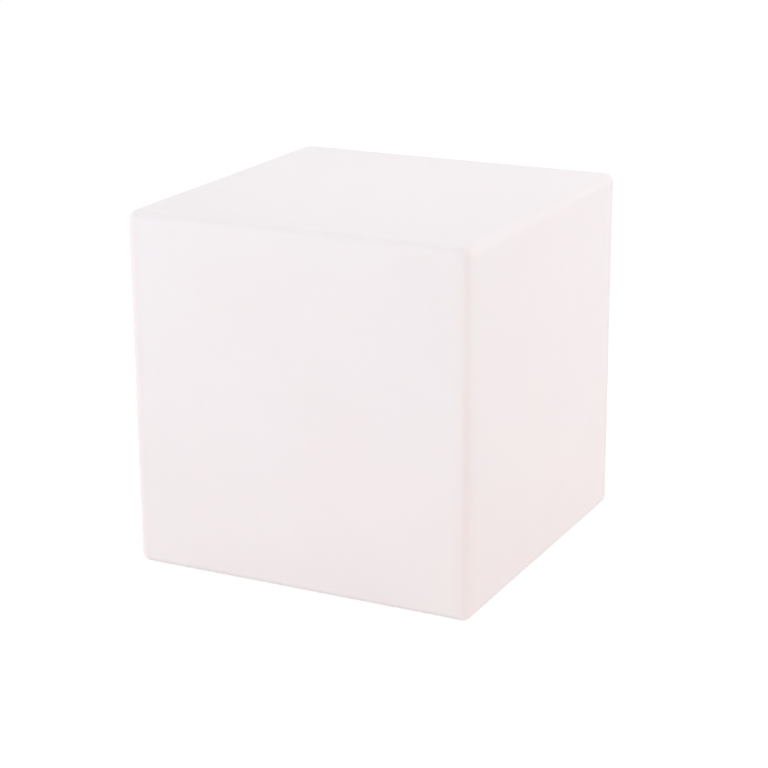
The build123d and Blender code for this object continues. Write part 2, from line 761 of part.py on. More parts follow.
with BuildPart(Plane.XY.offset(control_top)) as capacitors:
    for i in range(capacitor_count):
        x = control_edge + capacitor_inset + capacitor_pitch * i
        with Locations((x, control_row + capacitor_row_offset)):
            Cylinder(capacitor_radius, capacitor_height, align=UP)
    fillet(capacitors.edges().group_by(Axis.Z)[-1], capacitor_radius / 8)

coil_place = (-control_edge - coil_offset, control_row + coil_row_offset)
with BuildPart(Plane.XY.offset(control_top)) as charge_coil:
    with Locations(coil_place):
        Box(*coil_size, align=UP)
    fillet(charge_coil.edges().filter_by(Axis.Z), coil_size[0] / 7)
    with Locations((*coil_place, coil_size[2])):
        Cylinder(coil_core_radius, coil_core_height, align=UP)

pair_header = (header_pitch + 2 * header_end, header_depth)
led_pins = [led_pitch * i for i in range(-2, 3)]
led_plug = (led_pins[-1] - led_pins[0] + 2 * header_end, slot_size[1])
battery_mouth = -control_edge - battery_header_edge
with BuildPart() as board_headers:
    with BuildSketch(Plane.XY.offset(control_top)):
        with Locations((-header_x, header_row), (header_x, header_row)):
            Rectangle(*pair_header)
        with Locations((0, slot_row)):
            Rectangle(*led_plug)
    extrude(amount=header_height)
    with Locations((battery_mouth, control_row, control_top)):
        Box(*battery_header_size, align=(Align.MAX, Align.CENTER, Align.MIN))

with BuildPart() as lead_plugs:
    with BuildSketch(Plane.XY.offset(header_top)):
        with Locations((-header_x, header_row), (header_x, header_row)):
            Rectangle(*pair_header)
        with Locations((0, slot_row)):
            Rectangle(*led_plug)
    extrude(amount=plug_height)
    chamfer(lead_plugs.faces().group_by(Axis.Z)[-1].edges(), header_end / 4)

# ---------------------------------------------------------------- battery
with BuildPart() as battery_cells:
    with BuildSketch(Plane.YZ.offset(-cell_length / 2)):
        with Locations((battery_row, cell_axis)):
            with GridLocations(2 * cell_offset, 1, 2, 1):
                Circle(cell_radius)
    extrude(amount=cell_length - cell_nub_height)
    fillet(battery_cells.edges().filter_by(GeomType.CIRCLE), cell_nub_height / 2)
    with BuildSketch(Plane.YZ.offset(cell_length / 2)):
        with Locations((battery_row, cell_axis)):
            with GridLocations(2 * cell_offset, 1, 2, 1):
                Circle(cell_nub_radius)
    extrude(amount=-cell_nub_height)

with BuildPart() as cell_tabs:
    with BuildSketch(Plane.YZ.offset(cell_length / 2)):
        with Locations((battery_row, cell_axis)):
            SlotCenterToCenter(2 * cell_offset, tab_width)
    extrude(amount=tab_thick)
    with BuildSketch(Plane.YZ.offset(-cell_length / 2)):
        with Locations((battery_row, cell_axis)):
            SlotCenterToCenter(2 * cell_offset, tab_width)
    extrude(amount=-tab_thick)

with BuildPart() as cell_pad:
    with BuildSketch(Plane.XY.offset(cell_pad_base)):
        with Locations((0, battery_row)):
            Rectangle(*cell_pad_size)
    extrude(amount=cell_pad_thick)

with BuildPart() as battery_bracket:
    with BuildSketch(Plane.XY.offset(bracket_base)):
        with Locations((0, battery_row)):
            SlotCenterToCenter(2 * bracket_screw_offset, bracket_width, rotation=90)
            with GridLocations(1, 2 * bracket_screw_offset, 1, 2):
                Circle(small_thread + bore_gap, mode=Mode.SUBTRACT)
    extrude(amount=bracket_thick)

bracket_screw = pan_screw(small_thread, bracket_screw_length, small_head_radius, small_head_height)
with BuildPart(Plane.XY.offset(bracket_base + bracket_thick)) as bracket_screws:
    with Locations((0, battery_row)):
        with GridLocations(1, 2 * bracket_screw_offset, 1, 2):
            add(bracket_screw, rotation=(180, 0, 0))

# ---------------------------------------------------------------- push switch
with BuildPart() as panel_seals:
    with BuildSketch(Plane.XY.offset(bezel_top)):
        with Locations((switch_x, panel_row)):
            Circle(switch_bezel_radius - panel_seal_inset)
            Circle(bush_radius + panel_bore_gap, mode=Mode.SUBTRACT)
        with Locations((socket_x, panel_row)):
            Circle(socket_bezel_radius - panel_seal_inset)
            Circle(socket_bush_radius + panel_bore_gap, mode=Mode.SUBTRACT)
    extrude(amount=panel_seal_thick)

with BuildPart() as switch_bush:
    with BuildSketch(Plane.XY.offset(bezel_face)):
        with Locations((switch_x, panel_row)):
            Circle(switch_bezel_radius)
    extrude(amount=bezel_thick)
    fillet(switch_bush.edges().group_by(Axis.Z)[0], bezel_thick / 3)
    with BuildSketch(Plane.XY.offset(bezel_top)):
        with Locations((switch_x, panel_row)):
            Circle(bush_radius)
    extrude(amount=bush_length)
    with BuildSketch(Plane.XY.offset(bezel_face)):
        with Locations((switch_x, panel_row)):
            Circle(button_radius + button_gap)
    extrude(amount=spring_ceiling - bezel_face, mode=Mode.SUBTRACT)
    with BuildSketch(Plane.XY.offset(spring_ceiling)):
        with Locations((switch_x, panel_row)):
            Circle(stem_radius + stem_gap)
    extrude(amount=bush_top - spring_ceiling, mode=Mode.SUBTRACT)

with BuildPart() as switch_case:
    with BuildSketch(Plane.XY.offset(bush_top)):
        with Locations((switch_x, panel_row)):
            Circle(bush_radius)
    extrude(amount=case_height)
    fillet(switch_case.edges().group_by(Axis.Z)[-1], bezel_thick / 3)
    with BuildSketch(Plane.XY.offset(bush_top)):
        with Locations((switch_x, panel_row)):
            Circle(case_chamber_radius)
    extrude(amount=case_chamber_height, mode=Mode.SUBTRACT)

with BuildPart() as switch_terminals:
    with Locations((switch_x, panel_row, case_top)):
        with GridLocations(2 * terminal_offset, 1, 2, 1):
            Box(*terminal_size, align=UP)

with BuildPart(Plane.XY.offset(plate_top)) as panel_nuts:
    with Locations((switch_x, panel_row)):
        add(hex_nut(bush_radius, nut_thick))
    with Locations((socket_x, panel_row)):
        add(hex_nut(socket_bush_radius, nut_thick))

with BuildPart() as power_button:
    with BuildSketch(Plane.XY.offset(button_face)):
        with Locations((switch_x, panel_row)):
            Circle(button_radius)
    extrude(amount=button_height)
    fillet(power_button.edges().group_by(Axis.Z)[0], button_rounding)
    with BuildSketch(Plane.XY.offset(button_back)):
        with Locations((switch_x, panel_row)):
            Circle(stem_radius)
    extrude(amount=bush_top + stem_head_gap - button_back)
    with BuildSketch(Plane.XY.offset(bush_top + stem_head_gap)):
        with Locations((switch_x, panel_row)):
            Circle(stem_head_radius)
    extrude(amount=stem_head_height)
    # The power symbol: a broken ring with a bar across the break.
    with BuildSketch(Plane.XY.offset(button_face)):
        with Locations((switch_x, panel_row)):
            Circle(symbol_radius + symbol_line / 2)
            Circle(symbol_radius - symbol_line / 2, mode=Mode.SUBTRACT)
            with Locations((0, symbol_radius)):
                Rectangle(3 * symbol_line, 2 * symbol_line, mode=Mode.SUBTRACT)
                Rectangle(symbol_line, symbol_radius)
    extrude(amount=symbol_depth, mode=Mode.SUBTRACT)

spring_base = button_back + spring_wire + spring_end_gap
spring_rise = spring_room - 2 * (spring_wire + spring_end_gap)
with BuildPart() as button_spring:
    with BuildLine() as coil_line:
        Helix(
            spring_rise / spring_turns,
            spring_rise,
            spring_radius,
            center=(switch_x, panel_row, spring_base),
        )
    with BuildSketch(Plane(coil_line.line @ 0, z_dir=coil_line.line % 0)):
        Circle(spring_wire)
    sweep(path=coil_line.line, is_frenet=True)

# ---------------------------------------------------------------- charging socket
with BuildPart() as charge_socket:
    with BuildSketch(Plane.XY.offset(bezel_face)):
        with Locations((socket_x, panel_row)):
            Circle(socket_bezel_radius)
    extrude(amount=bezel_thick)
    with BuildSketch(Plane.XY.offset(bezel_top)):
        with Locations((socket_x, panel_row)):
            Circle(socket_bush_radius)
    extrude(amount=socket_top - bezel_top)
    fillet(charge_socket.edges().group_by(Axis.Z)[-1], bezel_thick / 3)
    with BuildSketch(Plane.XY.offset(bezel_face)):
        with Locations((socket_x, panel_row)):
            Circle(socket_bore_radius)
    extrude(amount=socket_depth, mode=Mode.SUBTRACT)

with BuildPart() as socket_contacts:
    with BuildSketch(Plane.XY.offset(bezel_face + socket_pin_recess)):
        with Locations((socket_x, panel_row)):
            Circle(socket_pin_radius)
    extrude(amount=socket_depth - socket_pin_recess)
    fillet(socket_contacts.edges().group_by(Axis.Z)[0], socket_pin_radius / 3)
    with Locations((socket_x, panel_row, socket_top)):
        with GridLocations(2 * terminal_offset, 1, 2, 1):
            Box(*terminal_size, align=UP)

with BuildPart() as port_cover:
    with BuildSketch(Plane.XY.offset(cover_face)):
        with Locations((socket_x, panel_row)):
            Circle(cover_radius)
    extrude(amount=cover_thick)
    fillet(port_cover.edges().group_by(Axis.Z)[0], cover_rounding)
    with Locations((socket_x, panel_row, cover_back)):
        Cone(bung_radius, bung_tip_radius, bung_length, align=UP)
    with Locations((hinge_x, panel_row, cover_face)):
        Box(
            hinge_reach,
            strap_width,
            strap_thick,
            align=(Align.MAX, Align.CENTER, Align.MIN),
        )
    with BuildSketch(Plane.XZ.offset(-panel_row - strap_width / 2)):
        with Locations((hinge_x, hinge_height)):
            Circle(knuckle_radius)
    extrude(amount=strap_width)
    with Locations((socket_x - cover_radius + pull_tab_overlap, panel_row, cover_face)):
        Box(*pull_tab_size, align=(Align.MAX, Align.CENTER, Align.MIN))

with BuildPart() as cover_anchor:
    with BuildSketch(Plane.XY.offset(cover_face)):
        with Locations((anchor_x, panel_row)):
            Circle(anchor_radius)
    extrude(amount=panel_face - cover_face)
    fillet(cover_anchor.edges().group_by(Axis.Z)[0], cover_rounding)
    with Locations((anchor_x, panel_row, cover_face)):
        Box(
            anchor_x - hinge_x,
            strap_width,
            strap_thick,
            align=(Align.MAX, Align.CENTER, Align.MIN),
        )
    with BuildSketch(Plane.XZ.offset(-panel_row - strap_width)):
        with Locations((hinge_x, hinge_height)):
            Circle(knuckle_radius + knuckle_gap)
    extrude(amount=2 * strap_width, mode=Mode.SUBTRACT)
    with Locations((anchor_x, panel_row, panel_face)):
        Cylinder(stud_radius, plate_top + stud_head_gap - panel_face, align=UP)
    with Locations((anchor_x, panel_row, plate_top + stud_head_gap)):
        Cone(stud_head_radius, stud_radius, stud_head_height, align=UP)

# ---------------------------------------------------------------- charge lamp
lamp_tip = panel_face - lamp_proud
lamp_top = plate_top + lamp_collar_height
with BuildPart() as charge_lamp:
    with Locations((0, panel_row, lamp_tip + lamp_radius)):
        Sphere(lamp_radius)
        Cylinder(lamp_radius, lamp_top - lamp_tip - lamp_radius, align=UP)
    with Locations((0, panel_row, plate_top)):
        Cylinder(lamp_collar_radius, lamp_collar_height, align=UP)

with BuildPart() as lamp_legs:
    with Locations((0, panel_row, lamp_top)):
        with GridLocations(2 * lamp_leg_offset, 1, 2, 1):
            Cylinder(lamp_leg_radius, lamp_leg_length, align=UP)

# ---------------------------------------------------------------- leads
with BuildPart() as switch_lead:
    for hand in (-1, 1):
        start_x = switch_x + hand * terminal_offset
        end_x = -header_x + hand * header_pitch / 2
        add(
            wire(
                (
                    (start_x, panel_row, case_top + terminal_size[2]),
                    (start_x, panel_row, lead_height),
                    (end_x, header_row, lead_height),
                    (end_x, header_row, plug_top),
                ),
                lead_radius,
            )
        )

with BuildPart() as socket_lead:
    for hand in (-1, 1):
        start_x = socket_x + hand * terminal_offset
        end_x = header_x + hand * header_pitch / 2
        add(
            wire(
                (
                    (start_x, panel_row, socket_top + terminal_size[2]),
                    (start_x, panel_row, lead_height),
                    (end_x, header_row, lead_height),
                    (end_x, header_row, plug_top),
                ),
                lead_radius,
            )
        )

lamp_pad_row = control_row - lamp_pad_offset
with BuildPart() as lamp_lead:
    for x in (-lamp_leg_offset, lamp_leg_offset):
        add(
            wire(
                (
                    (x, panel_row, lamp_top + lamp_leg_length),
                    (x, panel_row, lamp_lead_height),
                    (x, lamp_pad_row, lamp_lead_height),
                    (x, lamp_pad_row, control_top),
                ),
                thin_lead_radius,
            )
        )

led_lead_top = led_board_top + led_lead_height
led_mouth = led_header_row + led_header_size[1] / 2
with BuildPart() as led_lead:
    for x in led_pins:
        add(
            wire(
                (
                    (x, slot_row, plug_top),
                    (x, slot_row, led_lead_top),
                    (x, led_mouth, led_lead_top),
                ),
                thin_lead_radius,
            )
        )

battery_pin = header_pitch / 2
battery_lead_height = control_top + battery_header_size[2] / 2
tab_face = cell_length / 2 + tab_thick
red_lane = tab_face + red_reach
black_lane = red_lane + lane_gap
with BuildPart() as battery_lead:
    add(
        wire(
            (
                (tab_face, battery_row + cell_offset / 2, cell_axis),
                (red_lane, battery_row + cell_offset / 2, cell_axis),
                (red_lane, control_row - battery_pin, battery_lead_height),
                (battery_mouth, control_row - battery_pin, battery_lead_height),
            ),
            lead_radius,
        )
    )
    add(
        wire(
            (
                (-tab_face, battery_row, cell_axis),
                (-tab_face - black_turn, battery_row, cell_axis),
                (-tab_face - black_turn, battery_row, cell_axis + valley_height),
                (black_lane, battery_row, cell_axis + valley_height),
                (black_lane, control_row + battery_pin, battery_lead_height),
                (battery_mouth, control_row + battery_pin, battery_lead_height),
            ),
            lead_radius,
            bend=valley_height / 2,
        )
    )

# ---------------------------------------------------------------- one file for each piece
PIECES = {
    "cube_shell": cube_shell,
    "threaded_inserts": threaded_inserts,
    "rubber_feet": rubber_feet,
    "vent_plug": vent_plug,
    "light_base": light_base,
    "base_gasket": base_gasket,
    "base_screws": base_screws,
    "diffuser_dome": diffuser_dome,
    "dome_screws": dome_screws,
    "dome_seal": dome_seal,
    "light_deck": light_deck,
    "thermal_pad": thermal_pad,
    "led_board": led_board,
    "led_packages": led_packages,
    "led_lenses": led_lenses,
    "led_resistors": led_resistors,
    "remote_receiver": remote_receiver,
    "led_header": led_header,
    "board_screws": board_screws,
    "deck_screws": deck_screws,
    "control_board": control_board,
    "control_screws": control_screws,
    "board_chips": board_chips,
    "power_transistors": power_transistors,
    "capacitors": capacitors,
    "charge_coil": charge_coil,
    "board_headers": board_headers,
    "lead_plugs": lead_plugs,
    "battery_cells": battery_cells,
    "cell_tabs": cell_tabs,
    "cell_pad": cell_pad,
    "battery_bracket": battery_bracket,
    "bracket_screws": bracket_screws,
    "panel_seals": panel_seals,
    "panel_nuts": panel_nuts,
    "switch_bush": switch_bush,
    "switch_case": switch_case,
    "switch_terminals": switch_terminals,
    "power_button": power_button,
    "button_spring": button_spring,
    "charge_socket": charge_socket,
    "socket_contacts": socket_contacts,
    "port_cover": port_cover,
    "cover_anchor": cover_anchor,
    "charge_lamp": charge_lamp,
    "lamp_legs": lamp_legs,
    "switch_lead": switch_lead,
    "socket_lead": socket_lead,
    "lamp_lead": lamp_lead,
    "led_lead": led_lead,
    "battery_lead": battery_lead,
}

os.makedirs("parts", exist_ok=True)
for label, piece in PIECES.items():
    piece.part.label = label
    export_step(piece.part, f"parts/{label}.step")
print(f"{len(PIECES)} pieces, {side:g} mm cube")
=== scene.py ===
# %% [markdown]
# # A cube light in white moulded plastic
#
# This lesson dresses a finished construction model of a garden light: a hollow cube, 400 mm along each
# side, whose walls glow when the light unit in its underside is on. The construction is loaded as a fixed
# frame, so nothing here moves or resizes a part. What is left for Blender is how the light looks: the soft
# wall of the cube, the rubber, the metal, the boards inside it, and a bright studio to see it in.

# %% Load the frame
import json
import math

import bmesh
import bpy
from mathutils import Matrix, Vector, noise


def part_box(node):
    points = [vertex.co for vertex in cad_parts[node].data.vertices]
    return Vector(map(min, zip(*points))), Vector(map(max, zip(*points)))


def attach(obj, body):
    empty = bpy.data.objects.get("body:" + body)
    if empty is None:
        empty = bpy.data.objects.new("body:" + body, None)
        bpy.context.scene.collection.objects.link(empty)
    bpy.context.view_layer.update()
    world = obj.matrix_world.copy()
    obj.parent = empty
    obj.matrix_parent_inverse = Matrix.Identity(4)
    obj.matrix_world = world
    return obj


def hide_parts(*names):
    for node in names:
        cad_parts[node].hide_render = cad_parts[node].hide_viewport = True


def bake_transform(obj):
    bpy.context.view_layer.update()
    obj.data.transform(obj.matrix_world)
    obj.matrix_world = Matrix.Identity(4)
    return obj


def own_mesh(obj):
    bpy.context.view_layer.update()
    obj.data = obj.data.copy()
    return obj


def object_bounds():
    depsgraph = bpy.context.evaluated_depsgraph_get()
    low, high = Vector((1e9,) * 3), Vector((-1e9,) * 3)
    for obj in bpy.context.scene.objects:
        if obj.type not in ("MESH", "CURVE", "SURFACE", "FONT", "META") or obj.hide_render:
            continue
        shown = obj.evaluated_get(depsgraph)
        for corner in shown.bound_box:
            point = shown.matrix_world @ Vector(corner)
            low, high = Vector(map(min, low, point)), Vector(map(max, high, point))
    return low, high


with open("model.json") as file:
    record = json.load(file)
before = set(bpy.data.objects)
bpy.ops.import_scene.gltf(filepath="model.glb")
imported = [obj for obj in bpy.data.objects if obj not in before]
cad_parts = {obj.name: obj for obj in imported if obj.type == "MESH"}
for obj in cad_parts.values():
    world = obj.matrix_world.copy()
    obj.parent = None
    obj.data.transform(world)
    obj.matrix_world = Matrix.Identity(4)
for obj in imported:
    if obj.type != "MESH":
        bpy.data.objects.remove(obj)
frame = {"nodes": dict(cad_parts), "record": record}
cad_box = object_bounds()
nodes = frame["nodes"]
joints = frame["record"]["behaviour"]["joints"]
MM = 0.001

# %% [markdown]
# ## Where the camera stands
#
# A long lens from some way off keeps a cube's sides nearly parallel, and this one is seen from a little
# above and from the front right. The numbers below were found by fitting the outline and the three inner
# edges of a cube. The camera leans a little as well, so its axes are written out: a "track to"
# constraint would lose that lean.

# %% Camera
side = cad_box[1].z - cad_box[0].z
azimuth, elevation, lean = math.radians(26.696), math.radians(17.466), math.radians(-0.391)
camera_distance = 5.9707 * side
aim = Vector((0.0159, -0.0095, 0.4503)) * side

back = Vector((
    math.sin(azimuth) * math.cos(elevation),
    -math.cos(azimuth) * math.cos(elevation),
    math.sin(elevation),
))
level_right = Vector((math.cos(azimuth), math.sin(azimuth), 0))
level_up = back.cross(level_right)
right = level_right * math.cos(lean) + level_up * math.sin(lean)
up = level_up * math.cos(lean) - level_right * math.sin(lean)

camera_data = bpy.data.cameras.new("camera")
camera_data.lens = 99.8
camera_data.sensor_width = 36.0
camera_data.clip_end = 60.0
camera = bpy.data.objects.new("camera", camera_data)
bpy.context.scene.collection.objects.link(camera)
turn = Matrix((right, up, back)).transposed().to_4x4()
camera.matrix_world = Matrix.Translation(aim + back * camera_distance) @ turn
bpy.context.scene.camera = camera
print(f"the camera stands {camera_distance:.2f} m away")

# %% [markdown]
# ## A short way to write finishes
#
# Every finish here starts from one Principled shader. What is the same all over is typed into the shader
# itself, and noise only adds what varies: a little colour, a little gloss, a fine relief. Sizes are given
# in metres, as on a drawing, because an "Object" coordinate is in metres wherever the part goes. All of
# it could be clicked together in the shader editor, but as methods the same few steps serve every part.


# %% The finish helper
def linear(red, green, blue):
    """A colour as a paint chart gives it, 0 to 255, as the shader wants it."""
    def channel(value):
        share = value / 255
        return share / 12.92 if share <= 0.04045 else ((share + 0.055) / 1.055) ** 2.4
    return channel(red), channel(green), channel(blue), 1.0


class Finish:
    """One procedural finish, built node by node."""

    def __init__(self, name, colour, roughness, metallic=0.0, **more):
        self.material = bpy.data.materials.new(name)
        self.material.use_nodes = True
        self.tree = self.material.node_tree
        self.shader = self.tree.nodes["Principled BSDF"]
        self.set(Base_Color=linear(*colour), Roughness=roughness, Metallic=metallic, **more)
        self.place = self.add("ShaderNodeTexCoord").outputs["Object"]

    def set(self, **values):
        """Types values into sockets of the shader, with _ for a space in a socket's name."""
        for socket, value in values.items():
            self.shader.inputs[socket.replace("_", " ")].default_value = value

    def add(self, kind, settings=None, **inputs):
        """A node of that kind. A socket given as an input is linked, anything else is typed in."""
        node = self.tree.nodes.new(kind)
        for key, value in (settings or {}).items():
            setattr(node, key, value)
        for key, value in inputs.items():
            numbered = key[0] == "i" and key[1:].isdigit()
            socket = node.inputs[int(key[1:]) if numbered else key]
            if isinstance(value, bpy.types.NodeSocket):
                self.tree.links.new(value, socket)
            else:
                socket.default_value = value
        return node

    def noise(self, size, detail=2.0, stretch=(1, 1, 1)):
        """Soft random patches about this size across."""
        place = self.add("ShaderNodeMapping", Vector=self.place, Scale=stretch).outputs[0]
        return self.add("ShaderNodeTexNoise", Vector=place, Scale=1 / size, Detail=detail).outputs[0]

    def axis(self, letter):
        """The distance along X, Y or Z, in metres."""
        return self.add("ShaderNodeSeparateXYZ", Vector=self.place).outputs[letter]

    def math(self, operation, first, second=0.0):
        """One step of arithmetic, on two values or on one."""
        return self.add("ShaderNodeMath", {"operation": operation}, i0=first, i1=second).outputs[0]

    def vector(self, operation, first, second=(0, 0, 0), output="Vector"):
        """The same step on three numbers at once. A dot product comes out as one "Value"."""
        node = self.add("ShaderNodeVectorMath", {"operation": operation}, i0=first, i1=second)
        return node.outputs[output]

    def spread(self, value, low, high, start=0.3, end=0.7):
        """The value's range from start to end, spread from low to high."""
        return self.add(
            "ShaderNodeMapRange", i0=value, i1=start, i2=end, i3=low, i4=high
        ).outputs[0]

    def ramp(self, value, *colours):
        """Colours side by side along a value from 0 to 1."""
        node = self.add("ShaderNodeValToRGB", Fac=value)
        elements = node.color_ramp.elements
        while len(elements) < len(colours):
            elements.new(0.5)
        for i, colour in enumerate(colours):
            elements[i].position = i / (len(colours) - 1)
            elements[i].color = linear(*colour)
        return node.outputs["Color"]

    def colours(self, value, *colours):
        """A ramp of colours as the base colour."""
        self.tree.links.new(self.ramp(value, *colours), self.shader.inputs["Base Color"])

    def glow(self, value, *colours):
        """A ramp of colours as the colour of the light that the surface gives off."""
        self.tree.links.new(self.ramp(value, *colours), self.shader.inputs["Emission Color"])

    def vary_gloss(self, value, low, high):
        """A roughness that follows the value, from low to high."""
        self.tree.links.new(self.spread(value, low, high), self.shader.inputs["Roughness"])

    def relief(self, height, depth):
        """A relief of that height, up to this deep, on top of any relief before it."""
        bump = self.add("ShaderNodeBump", Height=height, Distance=depth, Strength=1.0)
        normal = self.shader.inputs["Normal"]
        if normal.is_linked:
            self.tree.links.new(normal.links[0].from_socket, bump.inputs["Normal"])
        self.tree.links.new(bump.outputs[0], normal)

    def wear(self, *names):
        """Puts the finish on these parts."""
        for name in names:
            slots = nodes[name].data.materials
            slots.clear()
            slots.append(self.material)
        print(self.material.name, "is on", ", ".join(names))


# %% [markdown]
# ## The cube's wall
#
# The cube is spun from polyethylene powder inside a hot mould. Its wall is a few millimetres thick, milky
# and satin: light goes a short way in and comes out again, which softens every edge. The colour isn't
# pure white. It leans to rose, and clouds in the powder move it by a percent or two. Powder gathers in
# the corners of a mould, so the wall is thicker along its upright edges and low down. There the colour is
# painted darker and warmer: painted shade. The light unit inside shines through a little, most in the
# middle of each face.
#
# A lamp inside the cube would do that too, but slowly and with grain, so a faint emission with a soft
# pattern stands for it. The relief has two sizes, a faint orange peel from the mould and a finer grain
# from the release agent.

# %% Where the wall is thick and painted darker, and where it glows
shell_low, shell_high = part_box("cube_shell")
shell_middle, shell_half = (shell_low + shell_high) / 2, (shell_high - shell_low) / 2


def near_upright_edges(finish, start, end):
    """0 on the shell's faces, rising to 1 from one distance from an upright edge to another."""
    away = finish.vector("ABSOLUTE", finish.vector("SUBTRACT", finish.place, shell_middle))
    split = finish.add("ShaderNodeSeparateXYZ", Vector=away).outputs
    smaller = finish.math("MINIMUM", split["X"], split["Y"])
    return finish.spread(smaller, 0, 1, shell_half.x - start, shell_half.x - end)


def face_middles(finish):
    """1 in the middle of each of the shell's faces, falling smoothly to 0 along its edges."""
    shares = finish.vector("DIVIDE", finish.vector("SUBTRACT", finish.place, shell_middle), shell_half)
    falls = finish.vector("SUBTRACT", (1, 1, 1), finish.vector("MULTIPLY", shares, shares))
    total = finish.vector("DOT_PRODUCT", falls, (1, 1, 1), output="Value")
    own = finish.vector("DOT_PRODUCT", falls, falls, output="Value")
    pairs = finish.math("SUBTRACT", finish.math("MULTIPLY", total, total), own)
    return finish.math("MULTIPLY", pairs, 0.5)


print("the shell measures", [round(value / MM, 1) for value in shell_half * 2], "mm")

# %% Milky polyethylene
milky = Finish("milky_polyethylene", (246, 240, 241), 0.46, IOR=1.51)
milky.set(Subsurface_Weight=0.6, Subsurface_Radius=(1.0, 0.85, 0.8), Subsurface_Scale=0.009)
milky.set(Emission_Strength=0.064)
milky.glow(face_middles(milky), (203, 181, 178), (255, 226, 224))
# Painted shade: darker and warmer near the upright edges and towards the bottom; the clouds are the
# powder's own tone.
shade_near_edges = near_upright_edges(milky, start=20 * MM, end=3 * MM)
shade_towards_bottom = milky.spread(milky.axis("Z"), 0.65, 0, start=0, end=shell_high.z)
clouds = milky.spread(milky.noise(0.16), -0.15, 0.15)
painted_shade_and_clouds = milky.math("ADD", milky.math("MULTIPLY", shade_near_edges, 0.6), milky.math("ADD", shade_towards_bottom, clouds))
milky.colours(painted_shade_and_clouds, (246, 241, 242), (243, 233, 231))
milky.vary_gloss(milky.noise(0.05), 0.42, 0.5)
milky.relief(milky.noise(0.007, detail=1.0), 0.03 * MM)
milky.relief(milky.noise(0.0009, detail=3.0), 0.006 * MM)
print("the wall's finish has", len(milky.tree.nodes), "nodes")

# %% [markdown]
# ## The shape of a moulded cube
#
# A plastic wall shrinks as it cools and pulls its flat faces in by a fraction of a millimetre, while the
# rounded edges keep them straight. A cube made of six perfect planes looks like a drawing. A plain cube
# with a Bevel modifier would have too few points to press in, so the skin below is a fine grid over a
# rounded box: each point of the grid is a point of a smaller box, moved out by the radius of the edge.

# %% Rounded box
touching = 1e-6  # points closer than this are one point


def object_from(form, name, smooth=True):
    """A new object in the scene, from a form that is used up by it."""
    mesh = bpy.data.meshes.new(name)
    form.to_mesh(mesh)
    form.free()
    mesh.polygons.foreach_set("use_smooth", [smooth] * len(mesh.polygons))
    made = bpy.data.objects.new(name, mesh)
    bpy.context.scene.collection.objects.link(made)
    return made


def mesh_object(name, points, faces, smooth=True):
    """A new object from points and faces, with points that meet joined into one."""
    form = bmesh.new()
    corners = [form.verts.new(point) for point in points]
    for face in faces:
        form.faces.new([corners[i] for i in face])
    bmesh.ops.remove_doubles(form, verts=form.verts, dist=touching)
    bmesh.ops.recalc_face_normals(form, faces=form.faces)
    return object_from(form, name, smooth)


def rounded_box(low, high, radius, flat_steps, round_steps):
    """Corner points and faces of a box with rounded edges, as a grid on each of its six sides."""
    angles = [math.pi / 4 * (1 - i / round_steps) for i in range(round_steps)]
    run = [(-1.0, -math.tan(angle)) for angle in angles]
    run += [(2 * i / flat_steps - 1, 0.0) for i in range(flat_steps + 1)]
    run += [(1.0, math.tan(angle)) for angle in reversed(angles)]
    middle = (low + high) / 2
    reach = (high - low) / 2 - Vector((radius,) * 3)
    points, faces = [], []
    for axis in range(3):
        across, along = (axis + 1) % 3, (axis + 2) % 3
        for hand in (-1, 1):
            first = len(points)
            for share_a, slope_a in run:
                for share_b, slope_b in run:
                    lean_out = Vector((0, 0, 0))
                    lean_out[axis], lean_out[across], lean_out[along] = hand, slope_a, slope_b
                    core = Vector((0, 0, 0))
                    core[axis] = hand * reach[axis]
                    core[across], core[along] = share_a * reach[across], share_b * reach[along]
                    points.append(middle + core + lean_out.normalized() * radius)
            count = len(run)
            for i in range(count - 1):
                for j in range(count - 1):
                    a = first + i * count + j
                    quad = (a, a + count, a + count + 1, a + 1)
                    faces.append(quad if hand > 0 else quad[::-1])
    return points, faces


# %% [markdown]
# A shrinking face dips most in its middle and not at all along its edges. It could be sculpted, but a
# formula gives every face the same dip: the product of two curves that fall to nothing at the edges. A
# little noise on top makes the wall uneven, as the eye expects of plastic that wasn't machined.

# %% Press the faces in
edge_radius = 10.5 * MM
skin_depth = 0.03 * MM  # how far the skin lies inside the solid at its edges
face_sag = 0.7 * MM
unevenness = 0.22 * MM
patch = 0.09  # the size of one uneven patch


def pressed(point):
    """A point of the skin, moved in by the sag of its face and by the unevenness of the wall."""
    share = [(point[i] - shell_middle[i]) / shell_half[i] for i in range(3)]
    face = max(range(3), key=lambda i: abs(share[i]))
    others = [share[i] for i in range(3) if i != face]
    crown = max(0.0, 1 - others[0] ** 2) * max(0.0, 1 - others[1] ** 2)
    wander = 0.5 + 0.5 * noise.noise(point / patch)
    moved = point.copy()
    moved[face] -= math.copysign(face_sag * crown + unevenness * wander * min(1.0, crown * 6), share[face])
    return moved


inset = Vector((skin_depth,) * 3)
points, faces = rounded_box(
    shell_low + inset, shell_high - inset, edge_radius, flat_steps=40, round_steps=12
)
skin = mesh_object("moulded_shell", [pressed(point) for point in points], faces)
print("the skin has", len(skin.data.vertices), "points")

# %% [markdown]
# The skin is only an outside. The inside of the wall, the recess underneath, the bosses and the pockets
# are already right in the construction's solid, so none of them is modelled again: a Boolean keeps what
# lies inside both. The exact solver needs closed bodies, and the solid's triangles come with loose
# corners, so a Weld modifier joins those first.


# %% Cut the skin with the solid
def apply_modifiers(thing):
    """Turns an object's modifiers into plain mesh."""
    evaluated = thing.evaluated_get(bpy.context.evaluated_depsgraph_get())
    mesh = bpy.data.meshes.new_from_object(evaluated)
    thing.modifiers.clear()
    thing.data = mesh


